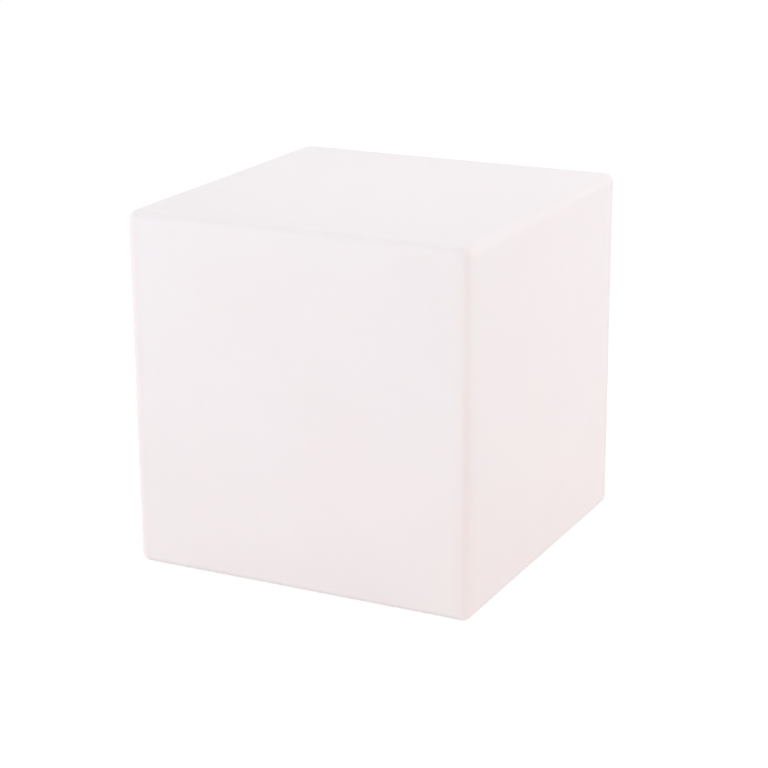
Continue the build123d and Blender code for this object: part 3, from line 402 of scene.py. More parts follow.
solid = bpy.data.objects.new("shell_solid", nodes["cube_shell"].data.copy())
bpy.context.scene.collection.objects.link(solid)
join = solid.modifiers.new("join", "WELD")
join.merge_threshold = touching
apply_modifiers(solid)
cut = skin.modifiers.new("cut", "BOOLEAN")
cut.operation, cut.solver, cut.object = "INTERSECT", "EXACT", solid
apply_modifiers(skin)
bpy.data.objects.remove(solid)
skin.data.polygons.foreach_set("use_smooth", [True] * len(skin.data.polygons))
skin.data.set_sharp_from_angle(angle=math.radians(32))
skin.data.materials.clear()
skin.data.materials.append(milky.material)
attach(skin, "root")
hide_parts("cube_shell")
print("the cut shell has", len(skin.data.vertices), "points")

# %% [markdown]
# ## The socket's rubber cover
#
# The charging socket is closed by a cover of soft silicone. On the real light the cover, its strap and
# its anchor are one moulding, and the strap is thin enough to bend by hand. The construction has a joint
# in the middle of the strap, so it holds two solids there. Here they become one piece again: a few plain
# bodies are joined, melted together by a fine voxel remesh, and smoothed. That gives the round inner
# corners of a rubber moulding, which a Bevel modifier can't make where bodies only pass through each
# other.


# %% Melt bodies into one moulding
def disc(form, centre, radius, low, high, top_radius=None):
    """Adds a round body from one height to another."""
    made = bmesh.ops.create_cone(
        form, cap_ends=True, segments=96, radius1=radius, radius2=top_radius or radius, depth=high - low
    )
    bmesh.ops.translate(form, verts=made["verts"], vec=(centre[0], centre[1], (low + high) / 2))


def block(form, low, high):
    """Adds a box between two corners."""
    made = bmesh.ops.create_cube(form, size=1.0)
    size = Vector(high) - Vector(low)
    bmesh.ops.scale(form, verts=made["verts"], vec=size)
    bmesh.ops.translate(form, verts=made["verts"], vec=(Vector(high) + Vector(low)) / 2)


def melted(name, form, grain, soften):
    """Closes the bodies into one skin of this grain, and rounds its corners."""
    made = object_from(form, name)
    remesh = made.modifiers.new("melt", "REMESH")
    remesh.mode, remesh.voxel_size = "VOXEL", grain
    smooth = made.modifiers.new("soften", "SMOOTH")
    smooth.iterations, smooth.factor = soften, 0.5
    apply_modifiers(made)
    made.data.polygons.foreach_set("use_smooth", [True] * len(made.data.polygons))
    return made


# %% [markdown]
# The cover is a disc with a bung behind it, a strap, an anchor with a headed stud, and a tab with three
# ridges to pull it open by. Its places come from the construction's own boxes and joint, so it closes the
# socket exactly. Each body runs a little way into the next, because only bodies that overlap melt into
# one.

# %% Sizes of the cover
cover_low, cover_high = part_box("port_cover")
anchor_low, anchor_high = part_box("cover_anchor")
hinge = Vector(next(j["pos_m"] for j in joints if j["type"] == "hinge"))
row_y = (anchor_low.y + anchor_high.y) / 2
disc_radius = (cover_high.y - cover_low.y) / 2
anchor_radius = (anchor_high.y - anchor_low.y) / 2
anchor_x = anchor_high.x - anchor_radius
hinge_reach = 10 * MM  # from the socket to the line of the fold
socket_x = hinge.x - hinge_reach
cover_face = anchor_low.z
disc_back = cover_face + 1.8 * MM
panel_face = cover_face + 4.5 * MM
plate_back = cover_face + 6.4 * MM
bung_radius, bung_tip_radius = 2.9 * MM, 2.4 * MM
stud_radius, stud_head_radius, stud_tip_radius = 1.45 * MM, 2.35 * MM, 1.4 * MM
strap_half = 3 * MM
strap_thick = 1 * MM
tab_half = 2.5 * MM
tab_root = 6 * MM  # from the socket to where the tab runs into the disc
tab_back = cover_face + 1.2 * MM
ridge_half = 0.2 * MM
ridge_inset = 0.3 * MM  # from a side of the tab to the end of a ridge
ridge_first, ridge_pitch = 0.7 * MM, 0.9 * MM  # from the tab's end to a ridge, and on to the next
ridge_height, ridge_root = 0.25 * MM, 0.3 * MM  # how far a ridge stands out, and reaches in
overlap, head_overlap = 0.2 * MM, 0.1 * MM
print(f"the cover is {disc_radius * 2 / MM:.1f} mm across, and its strap {strap_half * 2 / MM:.0f} mm wide")

# %% The cover in one piece
form = bmesh.new()
disc(form, (socket_x, row_y), disc_radius, cover_face, disc_back)
disc(form, (socket_x, row_y), bung_radius, disc_back - overlap, cover_high.z, bung_tip_radius)
disc(form, (anchor_x, row_y), anchor_radius, cover_face, panel_face)
disc(form, (anchor_x, row_y), stud_radius, panel_face - overlap, plate_back)
disc(form, (anchor_x, row_y), stud_head_radius, plate_back - head_overlap, anchor_high.z, stud_tip_radius)
block(
    form,
    (socket_x, row_y - strap_half, cover_face),
    (anchor_x, row_y + strap_half, cover_face + strap_thick),
)
block(
    form,
    (cover_low.x, row_y - tab_half, cover_face),
    (socket_x - tab_root, row_y + tab_half, tab_back),
)
for i in range(3):
    ridge_x = cover_low.x + ridge_first + ridge_pitch * i
    block(
        form,
        (ridge_x - ridge_half, row_y - tab_half + ridge_inset, cover_face - ridge_height),
        (ridge_x + ridge_half, row_y + tab_half - ridge_inset, cover_face + ridge_root),
    )
cover = melted("rubber_cover", form, grain=0.14 * MM, soften=6)
print("the rubber cover has", len(cover.data.vertices), "points")

# %% [markdown]
# The strap is drawn thinner on the line where it bends. The silicone
# is pale and dull, and lets light a little way in, so it is finished like the wall of the cube with
# less depth.

# %% Thin the strap at its fold
fold_half = 1.5 * MM
deepest_pinch = 0.35
thinned = 0
for vertex in cover.data.vertices:
    off_line = (vertex.co.x - hinge.x) / fold_half
    if abs(off_line) < 1 and vertex.co.z < cover_face + strap_thick:
        pinch = deepest_pinch * (0.5 + 0.5 * math.cos(math.pi * off_line))
        vertex.co.z += (hinge.z - vertex.co.z) * pinch
        thinned += 1
silicone = Finish("pale_silicone", (216, 214, 210), 0.62, Specular_IOR_Level=0.35)
silicone.set(Subsurface_Weight=0.2, Subsurface_Radius=(1.0, 0.9, 0.8), Subsurface_Scale=0.001)
silicone.colours(silicone.spread(silicone.noise(0.006), 0, 1), (211, 209, 205), (221, 219, 215))
silicone.vary_gloss(silicone.noise(0.003), 0.55, 0.7)
silicone.relief(silicone.noise(0.00025, detail=2.0), 0.006 * MM)
cover.data.materials.append(silicone.material)
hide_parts("port_cover", "cover_anchor")
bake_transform(cover)
print("the fold takes in", thinned, "points")

# %% [markdown]
# ## The button's spring
#
# The push switch is held out by a small compression spring. The real one is drawn steel wire, with its
# end turns wound close and ground flat, so that it stands straight. The construction's spring has the
# right pitch but plain ends, so a finer one replaces it.


# %% A round tube along points
def tube(name, centres, radius, sides=12):
    """A closed round tube along points in space."""
    centres = [Vector(c) for c in centres]
    points, faces = [], []
    ahead = (centres[1] - centres[0]).normalized()
    across = ahead.orthogonal().normalized()
    for i, centre in enumerate(centres):
        after, before = centres[min(i + 1, len(centres) - 1)], centres[max(i - 1, 0)]
        ahead = (after - before).normalized()
        across = (across - ahead * across.dot(ahead)).normalized()
        beside = ahead.cross(across)
        for k in range(sides):
            angle = 2 * math.pi * k / sides
            points.append(centre + (across * math.cos(angle) + beside * math.sin(angle)) * radius)
    for i in range(len(centres) - 1):
        for k in range(sides):
            a, b = i * sides + k, i * sides + (k + 1) % sides
            faces.append((a, b, b + sides, a + sides))
    faces.append(tuple(range(sides))[::-1])
    last = (len(centres) - 1) * sides
    faces.append(tuple(range(last, last + sides)))
    return mesh_object(name, points, faces)


# %% A spring from a formula
spring_low, spring_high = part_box("button_spring")
wire_radius = 0.25 * MM
coil_radius = (spring_high.x - spring_low.x) / 2 - wire_radius
spring_x, spring_y = (spring_low.x + spring_high.x) / 2, (spring_low.y + spring_high.y) / 2
spring_length = spring_high.z - spring_low.z
end_turn = 2.1 * wire_radius  # how far the close end turns climb
free_turns = 3.0
all_turns = free_turns + 2
steps = 40  # in each turn


def spring_point(turn):
    """A point of the wire after this many turns, of which the first and last lie close."""
    climb = spring_length - 2 * wire_radius
    middle_climb = climb - 2 * end_turn
    if turn < 1:
        height = end_turn * turn
    elif turn > all_turns - 1:
        height = climb - end_turn * (all_turns - turn)
    else:
        height = end_turn + middle_climb * (turn - 1) / free_turns
    angle = 2 * math.pi * turn
    return (
        spring_x + coil_radius * math.cos(angle),
        spring_y + coil_radius * math.sin(angle),
        spring_low.z + wire_radius + height,
    )


turns = [i / steps for i in range(int(all_turns * steps) + 1)]
spring = tube("drawn_wire_spring", [spring_point(t) for t in turns], wire_radius)
drawn_wire = Finish("drawn_steel_wire", (172, 172, 176), 0.3, metallic=1.0)
drawn_wire.colours(drawn_wire.spread(drawn_wire.noise(0.0012), 0, 1), (158, 158, 163), (186, 186, 189))
drawn_wire.vary_gloss(drawn_wire.noise(0.0004, stretch=(1, 1, 6)), 0.22, 0.42)
drawn_wire.relief(drawn_wire.noise(0.00008, stretch=(1, 1, 5)), 0.004 * MM)
spring.data.materials.append(drawn_wire.material)
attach(spring, "root")
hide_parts("button_spring")
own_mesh(spring)

# %% [markdown]
# ## Rubber
#
# The feet and the large gasket are grey silicone, and the small seals are black nitrile. Rubber is dull
# because its skin is covered in tiny pits, so the relief matters more than the colour. The pits are a
# hundred times smaller than the parts, which keeps them from looking like orange peel. Pits cut into the
# mesh would need millions of faces, and a bump looks the same at this size.


# %% Rubber for feet, gasket and seals
def rubber(name, colour, patchy, roughness):
    """Dull pitted rubber, with patches of a second colour where it has been handled."""
    made = Finish(name, colour, roughness, Specular_IOR_Level=0.3)
    made.colours(made.spread(made.noise(0.009), 0, 1), colour, patchy)
    made.vary_gloss(made.noise(0.004), roughness - 0.08, roughness + 0.1)
    made.relief(made.noise(0.0003, detail=3.0), 0.012 * MM)
    made.relief(made.noise(0.003, detail=1.0), 0.02 * MM)
    return made


rubber("grey_silicone", (104, 104, 107), (118, 117, 119), 0.72).wear("rubber_feet", "base_gasket")
rubber("black_nitrile", (34, 34, 35), (46, 45, 45), 0.66).wear("dome_seal", "panel_seals")

# %% [markdown]
# ## Moulded plastics
#
# The mould for the light unit is spark eroded, which leaves a fine even frost that hides scratches. Black
# and grey plastics have the same frost, only smaller. One helper makes them all, because what tells them
# apart is a colour, a gloss, and the size and depth of the frost.


# %% Frosted plastics
def moulded(name, colour, lighter, roughness, frost, depth):
    """Plastic from a spark-eroded mould, with a frost of that grain and depth."""
    made = Finish(name, colour, roughness, IOR=1.5)
    made.colours(made.spread(made.noise(0.03), 0, 1), colour, lighter)
    made.vary_gloss(made.noise(0.01), roughness - 0.05, roughness + 0.06)
    made.relief(made.noise(frost, detail=2.0), depth)
    made.relief(made.noise(frost * 12, detail=1.0), depth)
    return made


unit_white = moulded("frosted_white", (232, 229, 226), (237, 235, 232), 0.5, 0.0004, 0.02 * MM)
unit_white.set(Subsurface_Weight=0.15, Subsurface_Radius=(1.0, 0.9, 0.8), Subsurface_Scale=0.002)
unit_white.wear("light_base", "vent_plug")
frosted_black = moulded("frosted_black", (36, 36, 38), (44, 44, 46), 0.48, 0.0003, 0.012 * MM)
frosted_black.wear("switch_bush", "switch_case", "charge_socket")

# %% [markdown]
# The button carries a power mark that is sunk and filled with pale paint. The mark could be a picture
# laid on the button, but its groove is there in the solid. So the floor of the groove is found by where
# it lies and which way it faces, and only those faces get the paint.


# %% The button's grey, and the paint in its mark
def paint(name, made, where):
    """Gives a second finish to the faces of a part whose middle and direction pass a test."""
    mesh = nodes[name].data
    mesh.materials.append(made.material)
    index = len(mesh.materials) - 1
    count = 0
    for face in mesh.polygons:
        if where(face.center, face.normal):
            face.material_index = index
            count += 1
    print(name, "has", count, "faces of", made.material.name)


button_grey = moulded("button_grey", (150, 151, 153), (158, 159, 161), 0.42, 0.00025, 0.008 * MM)
button_grey.wear("power_button")
mark_paint = Finish("mark_paint", (238, 239, 240), 0.4)
mark_paint.vary_gloss(mark_paint.noise(0.0006), 0.32, 0.5)
mark_paint.relief(mark_paint.noise(0.0002), 0.01 * MM)
button_low, button_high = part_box("power_button")
button_x, button_y = (button_low.x + button_high.x) / 2, (button_low.y + button_high.y) / 2
mark_reach = 2.6 * MM
paint(
    "power_button", mark_paint,
    lambda at, facing: facing.z < -0.9 and math.hypot(at.x - button_x, at.y - button_y) < mark_reach
    and at.z - button_low.z > 0.2 * MM,
)

# %% [markdown]
# ## Milky and clear plastics
#
# The dome over the LEDs is opal polycarbonate: satin, and milky enough to hide the single LEDs. The
# charge lamp is tinted epoxy. The remote control's receiver is black to the eye and clear to infra-red,
# so it is nearly black with a wet gloss. An LED is a white frame round a drop of clear silicone over
# yellow phosphor. True glass all through would turn such small parts dark, so the milky ones scatter light
# under their skin, and only the lamp lets some of it pass.

# %% Opal dome and charge lamp
opal = Finish("opal_polycarbonate", (240, 240, 236), 0.34, IOR=1.58)
opal.set(Subsurface_Weight=0.6, Subsurface_Radius=(1.0, 0.95, 0.9), Subsurface_Scale=0.004)
opal.colours(opal.spread(opal.noise(0.04), 0, 1), (238, 238, 233), (243, 243, 240))
opal.vary_gloss(opal.noise(0.012), 0.28, 0.4)
opal.relief(opal.noise(0.002, detail=1.0), 0.008 * MM)
opal.wear("diffuser_dome")

lamp_red = Finish("tinted_epoxy", (196, 40, 34), 0.22, IOR=1.54, Transmission_Weight=0.35)
lamp_red.colours(lamp_red.spread(lamp_red.noise(0.001), 0, 1), (182, 34, 30), (208, 50, 42))
lamp_red.vary_gloss(lamp_red.noise(0.0008), 0.16, 0.3)
lamp_red.wear("charge_lamp")

# %% Receiver, LEDs and nylon headers
receiver_glass = Finish("infra_red_filter", (26, 14, 18), 0.16, IOR=1.56, Coat_Weight=0.3)
receiver_glass.colours(receiver_glass.spread(receiver_glass.noise(0.002), 0, 1), (22, 12, 16), (32, 18, 22))
receiver_glass.vary_gloss(receiver_glass.noise(0.0015), 0.1, 0.24)
receiver_glass.wear("remote_receiver")

moulded("led_frame", (236, 235, 228), (242, 241, 236), 0.4, 0.00015, 0.004 * MM).wear("led_packages")
phosphor = Finish("phosphor_drop", (238, 214, 118), 0.12, IOR=1.41, Coat_Weight=0.6)
phosphor.set(Subsurface_Weight=0.3, Subsurface_Radius=(1.0, 0.8, 0.3), Subsurface_Scale=0.0006)
phosphor.colours(phosphor.spread(phosphor.noise(0.0006), 0, 1), (232, 204, 100), (243, 224, 138))
phosphor.relief(phosphor.noise(0.0016, detail=0.0), 0.02 * MM)
phosphor.wear("led_lenses")

nylon = moulded("natural_nylon", (232, 224, 202), (239, 233, 216), 0.38, 0.0002, 0.004 * MM)
nylon.set(Subsurface_Weight=0.25, Subsurface_Radius=(1.0, 0.85, 0.6), Subsurface_Scale=0.001)
nylon.wear("led_header", "board_headers", "lead_plugs")

# %% [markdown]
# ## Metals
#
# A metal has almost no colour of its own: what tells brass from zinc is a tint, and what tells turned
# from rolled or plated is the direction of its fine lines. So one helper makes them all from a colour, a
# gloss, and a stretch that pulls the noise into lines along one axis.


# %% Metals
def metal(name, dark, light, low, high, stretch, grain=0.0006, depth=0.004 * MM):
    """A metal whose colour and gloss vary along fine lines."""
    made = Finish(name, dark, (low + high) / 2, metallic=1.0)
    lines = made.noise(grain, detail=3.0, stretch=stretch)
    made.colours(made.spread(made.noise(0.006), 0, 1), dark, light)
    made.vary_gloss(lines, low, high)
    made.relief(lines, depth)
    return made


brass = metal("turned_brass", (206, 176, 116), (224, 198, 142), 0.24, 0.4, (1, 1, 9))
brass.wear("threaded_inserts")
stainless = metal("passivated_stainless", (186, 187, 190), (206, 207, 209), 0.2, 0.36, (1, 1, 6))
stainless.wear("base_screws", "dome_screws")
nickel = metal("bright_nickel", (196, 192, 184), (214, 211, 204), 0.16, 0.3, (4, 1, 1))
nickel.wear("cell_tabs", "panel_nuts", "switch_terminals", "socket_contacts", "lamp_legs")
zinc = metal("blue_zinc", (178, 184, 192), (206, 209, 208), 0.26, 0.44, (1, 1, 1), grain=0.0012)
zinc.wear("board_screws", "deck_screws", "control_screws", "battery_bracket", "bracket_screws")
rolled = metal("rolled_aluminium", (204, 206, 209), (218, 220, 222), 0.26, 0.44, (1, 40, 1), grain=0.004)
rolled.wear("light_deck")

# %% [markdown]
# ## The LED board
#
# An LED board is aluminium under a thick white resist. The copper under the resist joins the LEDs in
# rings, and shows as bands that stand up a little and look slightly greyer. They follow from the distance
# to the board's middle, so two bands and a few spokes need no picture.


# %% White board with ringed copper
def band(finish, value, middle, half_width):
    """1 where a value lies within a distance of another, and 0 elsewhere."""
    node = finish.add("ShaderNodeMath", {"operation": "COMPARE"}, i0=value, i1=middle, i2=half_width)
    return node.outputs[0]


led_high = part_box("led_packages")[1]
led_half = 2.45 * MM  # from the line of a ring to the outside of its LEDs
outer_ring = led_high.x - led_half
ring_gap = 17 * MM
inner_ring = outer_ring - ring_gap
ring_half = 2.1 * MM
spoke_count = 8
spoke_half = 0.03  # as a share of the angle from one spoke to the next
spoke_offset = 20.25  # whole turns keep the share above zero, and the rest turns the spokes

white_resist = Finish("white_resist", (238, 238, 234), 0.36, IOR=1.52)
x, y = white_resist.axis("X"), white_resist.axis("Y")
squares = white_resist.math("ADD", white_resist.math("MULTIPLY", x, x), white_resist.math("MULTIPLY", y, y))
from_middle = white_resist.math("SQRT", squares)
rings = white_resist.math(
    "MAXIMUM",
    band(white_resist, from_middle, outer_ring, ring_half),
    band(white_resist, from_middle, inner_ring, ring_half),
)
turn_share = white_resist.math("MULTIPLY", white_resist.math("ARCTAN2", y, x), spoke_count / (2 * math.pi))
turn_share = white_resist.math("FRACT", white_resist.math("ADD", turn_share, spoke_offset))
spoke = band(white_resist, turn_share, 0.5, spoke_half)
between = band(white_resist, from_middle, (outer_ring + inner_ring) / 2, (outer_ring - inner_ring) / 2)
copper = white_resist.math("MAXIMUM", rings, white_resist.math("MULTIPLY", spoke, between))
cloudy = white_resist.math("MULTIPLY", white_resist.noise(0.01), 0.25)
white_resist.colours(white_resist.math("ADD", copper, cloudy), (240, 240, 236), (226, 227, 222))
white_resist.vary_gloss(white_resist.noise(0.004), 0.28, 0.44)
white_resist.relief(copper, 0.03 * MM)
white_resist.relief(white_resist.noise(0.0008), 0.004 * MM)
white_resist.wear("led_board")

# %% [markdown]
# ## The control board
#
# This one is fibreglass under green resist. Its tracks are laid on a 1.27 mm grid: in one patch they run
# along the board, in the next across it, and a few patches are copper all over or have none. That is a
# rule, so it can be written as one: each patch draws a random number, and the number says what it gets.

# %% Green board with tracks
pitch = 1.27 * MM
track_half = 0.16  # as a share of the grid's pitch
above_zero = 0.2  # a shift, in metres, that keeps every place on the board above zero
along_under, across_over = 0.42, 0.66  # which numbers give tracks along the board, and across it
plane_number, plane_half = 0.54, 0.05  # which ones give a patch that is copper all over


def patch_number(finish, size):
    """A random number for each patch of this size."""
    snapped = finish.vector("FLOOR", finish.vector("DIVIDE", finish.place, size))
    node = finish.add("ShaderNodeTexWhiteNoise", {"noise_dimensions": "3D"}, Vector=snapped)
    return node.outputs["Value"]


def tracks(finish, letter):
    """Tracks on the grid that keep the same place along one axis."""
    steps_along = finish.math("DIVIDE", finish.math("ADD", finish.axis(letter), above_zero), pitch)
    return band(finish, finish.math("FRACT", steps_along), 0.5, track_half)


green_resist = Finish("green_resist", (20, 92, 52), 0.3, IOR=1.53)
number = patch_number(green_resist, (5 * pitch, 4 * pitch, 1.0))
runs_along = green_resist.math("LESS_THAN", number, along_under)
runs_across = green_resist.math("GREATER_THAN", number, across_over)
along = green_resist.math("MULTIPLY", tracks(green_resist, "Y"), runs_along)
across = green_resist.math("MULTIPLY", tracks(green_resist, "X"), runs_across)
plane = band(green_resist, number, plane_number, plane_half)
copper = green_resist.math("MAXIMUM", green_resist.math("MAXIMUM", along, across), plane)
cloudy = green_resist.math("MULTIPLY", green_resist.noise(0.008), 0.2)
green_resist.colours(green_resist.math("ADD", copper, cloudy), (14, 74, 42), (34, 122, 68))
green_resist.vary_gloss(green_resist.noise(0.003), 0.22, 0.4)
green_resist.relief(copper, 0.035 * MM)
green_resist.relief(green_resist.noise(0.0005), 0.006 * MM)
green_resist.wear("control_board")

# %% [markdown]
# ## Parts on the boards
#
# Chips are black epoxy with a fine dull grain. The tall capacitors wear a dark sleeve with a pale stripe
# down the negative side, and their tops are bare aluminium. The coil sits in a ferrite can, which is a
# dull grey ceramic. Stripe and top are painted by the direction that a face looks in, as the mark on the
# button was.

# %% Chips, capacitors and coil
epoxy = moulded("black_epoxy", (38, 38, 40), (48, 47, 48), 0.58, 0.00012, 0.006 * MM)
epoxy.wear("led_resistors", "board_chips", "power_transistors")
moulded("ferrite_ceramic", (64, 62, 62), (78, 75, 73), 0.64, 0.0002, 0.012 * MM).wear("charge_coil")

sleeve = Finish("capacitor_sleeve", (34, 40, 66), 0.3, IOR=1.54)
sleeve.colours(sleeve.spread(sleeve.noise(0.004), 0, 1), (30, 35, 60), (42, 49, 78))
sleeve.vary_gloss(sleeve.noise(0.002), 0.22, 0.38)
sleeve.relief(sleeve.noise(0.0012, detail=1.0), 0.012 * MM)
sleeve.wear("capacitors")
stripe = Finish("sleeve_stripe", (186, 192, 204), 0.32)
stripe.vary_gloss(stripe.noise(0.002), 0.25, 0.4)
stripe.relief(stripe.noise(0.0012, detail=1.0), 0.012 * MM)
can_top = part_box("capacitors")[1].z
paint("capacitors", stripe, lambda at, facing: facing.x < -0.9 and at.z < can_top - 0.2 * MM)
paint("capacitors", rolled, lambda at, facing: facing.z > 0.9 and at.z > can_top - 0.5 * MM)

# %% [markdown]
# ## Legs and sleeves
#
# The solids hold each chip as a plain block, and several chips are one part. Small pieces that are added
# to them need to know where each block stands. Typing the places in would break as soon as a chip moves,
# so the helper below walks over a part's mesh from point to point, and finds the box round each of its
# separate bodies.


# %% Find the separate bodies of a part
def bodies_of(name):
    """The low and high corner of each separate body in a part."""
    form = bmesh.new()
    form.from_mesh(nodes[name].data)
    bmesh.ops.remove_doubles(form, verts=form.verts, dist=touching)
    left, found = set(form.verts), []
    while left:
        waiting, corners = [left.pop()], []
        while waiting:
            vertex = waiting.pop()
            corners.append(vertex.co.copy())
            for edge in vertex.link_edges:
                other = edge.other_vert(vertex)
                if other in left:
                    left.discard(other)
                    waiting.append(other)
        found.append((Vector(map(min, zip(*corners))), Vector(map(max, zip(*corners)))))
    form.free()
    return sorted(found, key=lambda box: tuple(round(value, 5) for value in box[0]))


# %% [markdown]
# The legs of a chip are stamped from tinned strip and bent like a gull's wing, and they are what makes a
# black block read as a chip. They could be solids in the construction, but they are under a millimetre
# thick and carry nothing. A leg is one outline, drawn from the side and given a width, so the same few
# lines make chip legs, transistor tabs and the caps on a resistor's ends.

# %% Outlines of legs
gull_wing = [
    (-0.1, 0.62), (-0.1, 0.8), (0.34, 0.8), (0.44, 0.7), (0.5, 0.18),
    (0.95, 0.18), (0.95, 0), (0.36, 0), (0.28, 0.62),
]
wide_tab = [
    (-0.1, 0.55), (-0.1, 0.8), (0.5, 0.8), (0.62, 0.7), (0.72, 0.25),
    (1.6, 0.25), (1.6, 0), (0.5, 0), (0.38, 0.55),
]
end_cap = [(0, 0), (0, 0.62), (0.38, 0.62), (0.38, 0)]


def strip(form, root, outward, width, outline):
    """Adds a leg of this width, from an outline of distances out and up from its root, in millimetres."""
    beside = Vector((-outward.y, outward.x, 0)) * (width / 2 * MM)
    ends = []
    for hand in (-1, 1):
        ends.append([
            form.verts.new(root + outward * (out * MM) + Vector((0, 0, high * MM)) + beside * hand)
            for out, high in outline
        ])
    form.faces.new(ends[0][::-1])
    form.faces.new(ends[1])
    for i in range(len(outline)):
        j = (i + 1) % len(outline)
        form.faces.new((ends[0][i], ends[0][j], ends[1][j], ends[1][i]))


print("a gull wing reaches", max(out for out, high in gull_wing), "mm out from its chip")

# %% Bend legs from strip
legs_a_side = 8
leg_pitch, lead_pitch = 1.27 * MM, 2.3 * MM  # between a chip's legs, and a transistor's
leg_width, lead_width, tab_width, cap_width = 0.42, 0.7, 3.0, 1.64  # in millimetres
resistor_half = 1.6 * MM
cap_grip = 0.35 * MM  # how far an end cap reaches over the resistor

form = bmesh.new()
for low, high in bodies_of("board_chips"):
    for k in range(legs_a_side):
        leg_x = (low.x + high.x) / 2 + (k - (legs_a_side - 1) / 2) * leg_pitch
        for hand in (-1, 1):
            root = Vector((leg_x, high.y if hand > 0 else low.y, low.z))
            strip(form, root, Vector((0, hand, 0)), leg_width, gull_wing)
for low, high in bodies_of("power_transistors"):
    tab_x = (low.x + high.x) / 2
    strip(form, Vector((tab_x, high.y, low.z)), Vector((0, 1, 0)), tab_width, wide_tab)
    for k in (-1, 0, 1):
        root = Vector((tab_x + k * lead_pitch, low.y, low.z))
        strip(form, root, Vector((0, -1, 0)), lead_width, wide_tab)
for low, high in bodies_of("led_resistors"):
    foot = Vector(((low.x + high.x) / 2, (low.y + high.y) / 2, low.z))
    outward = Vector((foot.x, foot.y, 0)).normalized()
    for hand in (-1, 1):
        root = foot + outward * hand * (resistor_half - cap_grip)
        strip(form, root, outward * hand, cap_width, end_cap)
bmesh.ops.recalc_face_normals(form, faces=form.faces)
legs = object_from(form, "tinned_legs", smooth=False)
tinned = metal("tinned_strip", (186, 187, 188), (210, 210, 209), 0.22, 0.4, (1, 1, 1), grain=0.0004)
legs.data.materials.append(tinned.material)
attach(legs, "root")
print("the legs have", len(legs.data.polygons), "faces")

# %% [markdown]
# Each joint between a wire and a terminal is covered by a short length of shrunk sleeve: wide over the
# terminal, then a step down onto the wire. A tube with a Shrinkwrap modifier would follow every corner of
# the flat terminal. A turned body from six pairs of radius and height gives the same step and stays round.


# %% Sleeves over the joints
def turned(form, x, y, profile, sides=32):
    """Adds a round body from pairs of radius and height."""
    rings = []
    for radius, height in profile:
        rings.append([
            form.verts.new((
                x + radius * math.cos(2 * math.pi * k / sides),
                y + radius * math.sin(2 * math.pi * k / sides),
                height,
            ))
            for k in range(sides)
        ])
    form.faces.new(rings[0][::-1])
    form.faces.new(rings[-1])
    for lower, upper in zip(rings, rings[1:]):
        for k in range(sides):
            j = (k + 1) % sides
            form.faces.new((lower[k], lower[j], upper[j], upper[k]))


form = bmesh.new()
sleeve_wall = 0.25 * MM
for name, wire_half, over_half in (
    ("switch_terminals", 0.8 * MM, 1.15 * MM),
    ("socket_contacts", 0.8 * MM, 1.15 * MM),
    ("lamp_legs", 0.6 * MM, 0.75 * MM),
):
    found = bodies_of(name)
    top = max(high.z for low, high in found)
    on_wire = wire_half + sleeve_wall * 0.6
    for low, high in found:
        if high.z < top - 0.5 * MM:
            continue
        turned(form, (low.x + high.x) / 2, (low.y + high.y) / 2, [
            (over_half * 0.9, top - 2.4 * MM),
            (over_half, top - 2.2 * MM),
            (over_half, top - 0.3 * MM),
            (on_wire + 0.02 * MM, top + 0.5 * MM),
            (on_wire, top + 2.3 * MM),
            (wire_half + 0.05 * MM, top + 2.4 * MM),
        ])
bmesh.ops.recalc_face_normals(form, faces=form.faces)
sleeves = object_from(form, "joint_sleeves")
sleeves.data.set_sharp_from_angle(angle=math.radians(50))
shrunk = moulded("shrunk_polyolefin", (30, 30, 32), (40, 40, 42), 0.42, 0.0006, 0.01 * MM)
sleeves.data.materials.append(shrunk.material)
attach(sleeves, "root")
print("the sleeves have", len(sleeves.data.polygons), "faces")

# %% [markdown]
# ## Battery and pads
#
# The cells are shrunk into blue sleeve, whose ends wrinkle where they fold over the steel can. The pad
# under the bracket is closed-cell foam, so its relief is a field of small cells. The pad under the LED
# board is silicone with a woven core, which two crossed waves show well enough at this size.

# %% Cells and pads
cell_sleeve = Finish("shrunk_sleeve", (38, 96, 152), 0.26, IOR=1.54, Coat_Weight=0.15)
cell_sleeve.colours(cell_sleeve.spread(cell_sleeve.noise(0.012), 0, 1), (34, 88, 142), (46, 108, 166))
cell_sleeve.vary_gloss(cell_sleeve.noise(0.004), 0.2, 0.36)
cell_sleeve.relief(cell_sleeve.noise(0.0022, detail=1.0, stretch=(0.3, 1, 1)), 0.03 * MM)
cell_sleeve.wear("battery_cells")
cell_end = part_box("battery_cells")[1].x
paint(
    "battery_cells", nickel,
    lambda at, facing: abs(facing.x) > 0.8 and abs(at.x) > cell_end - 1.6 * MM,
)

foam = Finish("closed_cell_foam", (44, 44, 47), 0.85, Specular_IOR_Level=0.2)
foam_cells = foam.add("ShaderNodeTexVoronoi", Vector=foam.place, Scale=1 / 0.0006).outputs["Distance"]
foam.colours(foam_cells, (30, 30, 33), (66, 66, 69))
foam.relief(foam_cells, 0.12 * MM)
foam.wear("cell_pad")

silicone_pad = Finish("thermal_silicone", (146, 156, 168), 0.6)
waves = 2 * math.pi / 0.0009
weave_x = silicone_pad.math("SINE", silicone_pad.math("MULTIPLY", silicone_pad.axis("X"), waves))
weave_y = silicone_pad.math("SINE", silicone_pad.math("MULTIPLY", silicone_pad.axis("Y"), waves))
silicone_pad.colours(silicone_pad.spread(silicone_pad.noise(0.005), 0, 1), (138, 148, 161), (156, 166, 178))
silicone_pad.relief(silicone_pad.math("MULTIPLY", weave_x, weave_y), 0.01 * MM)
silicone_pad.wear("thermal_pad")

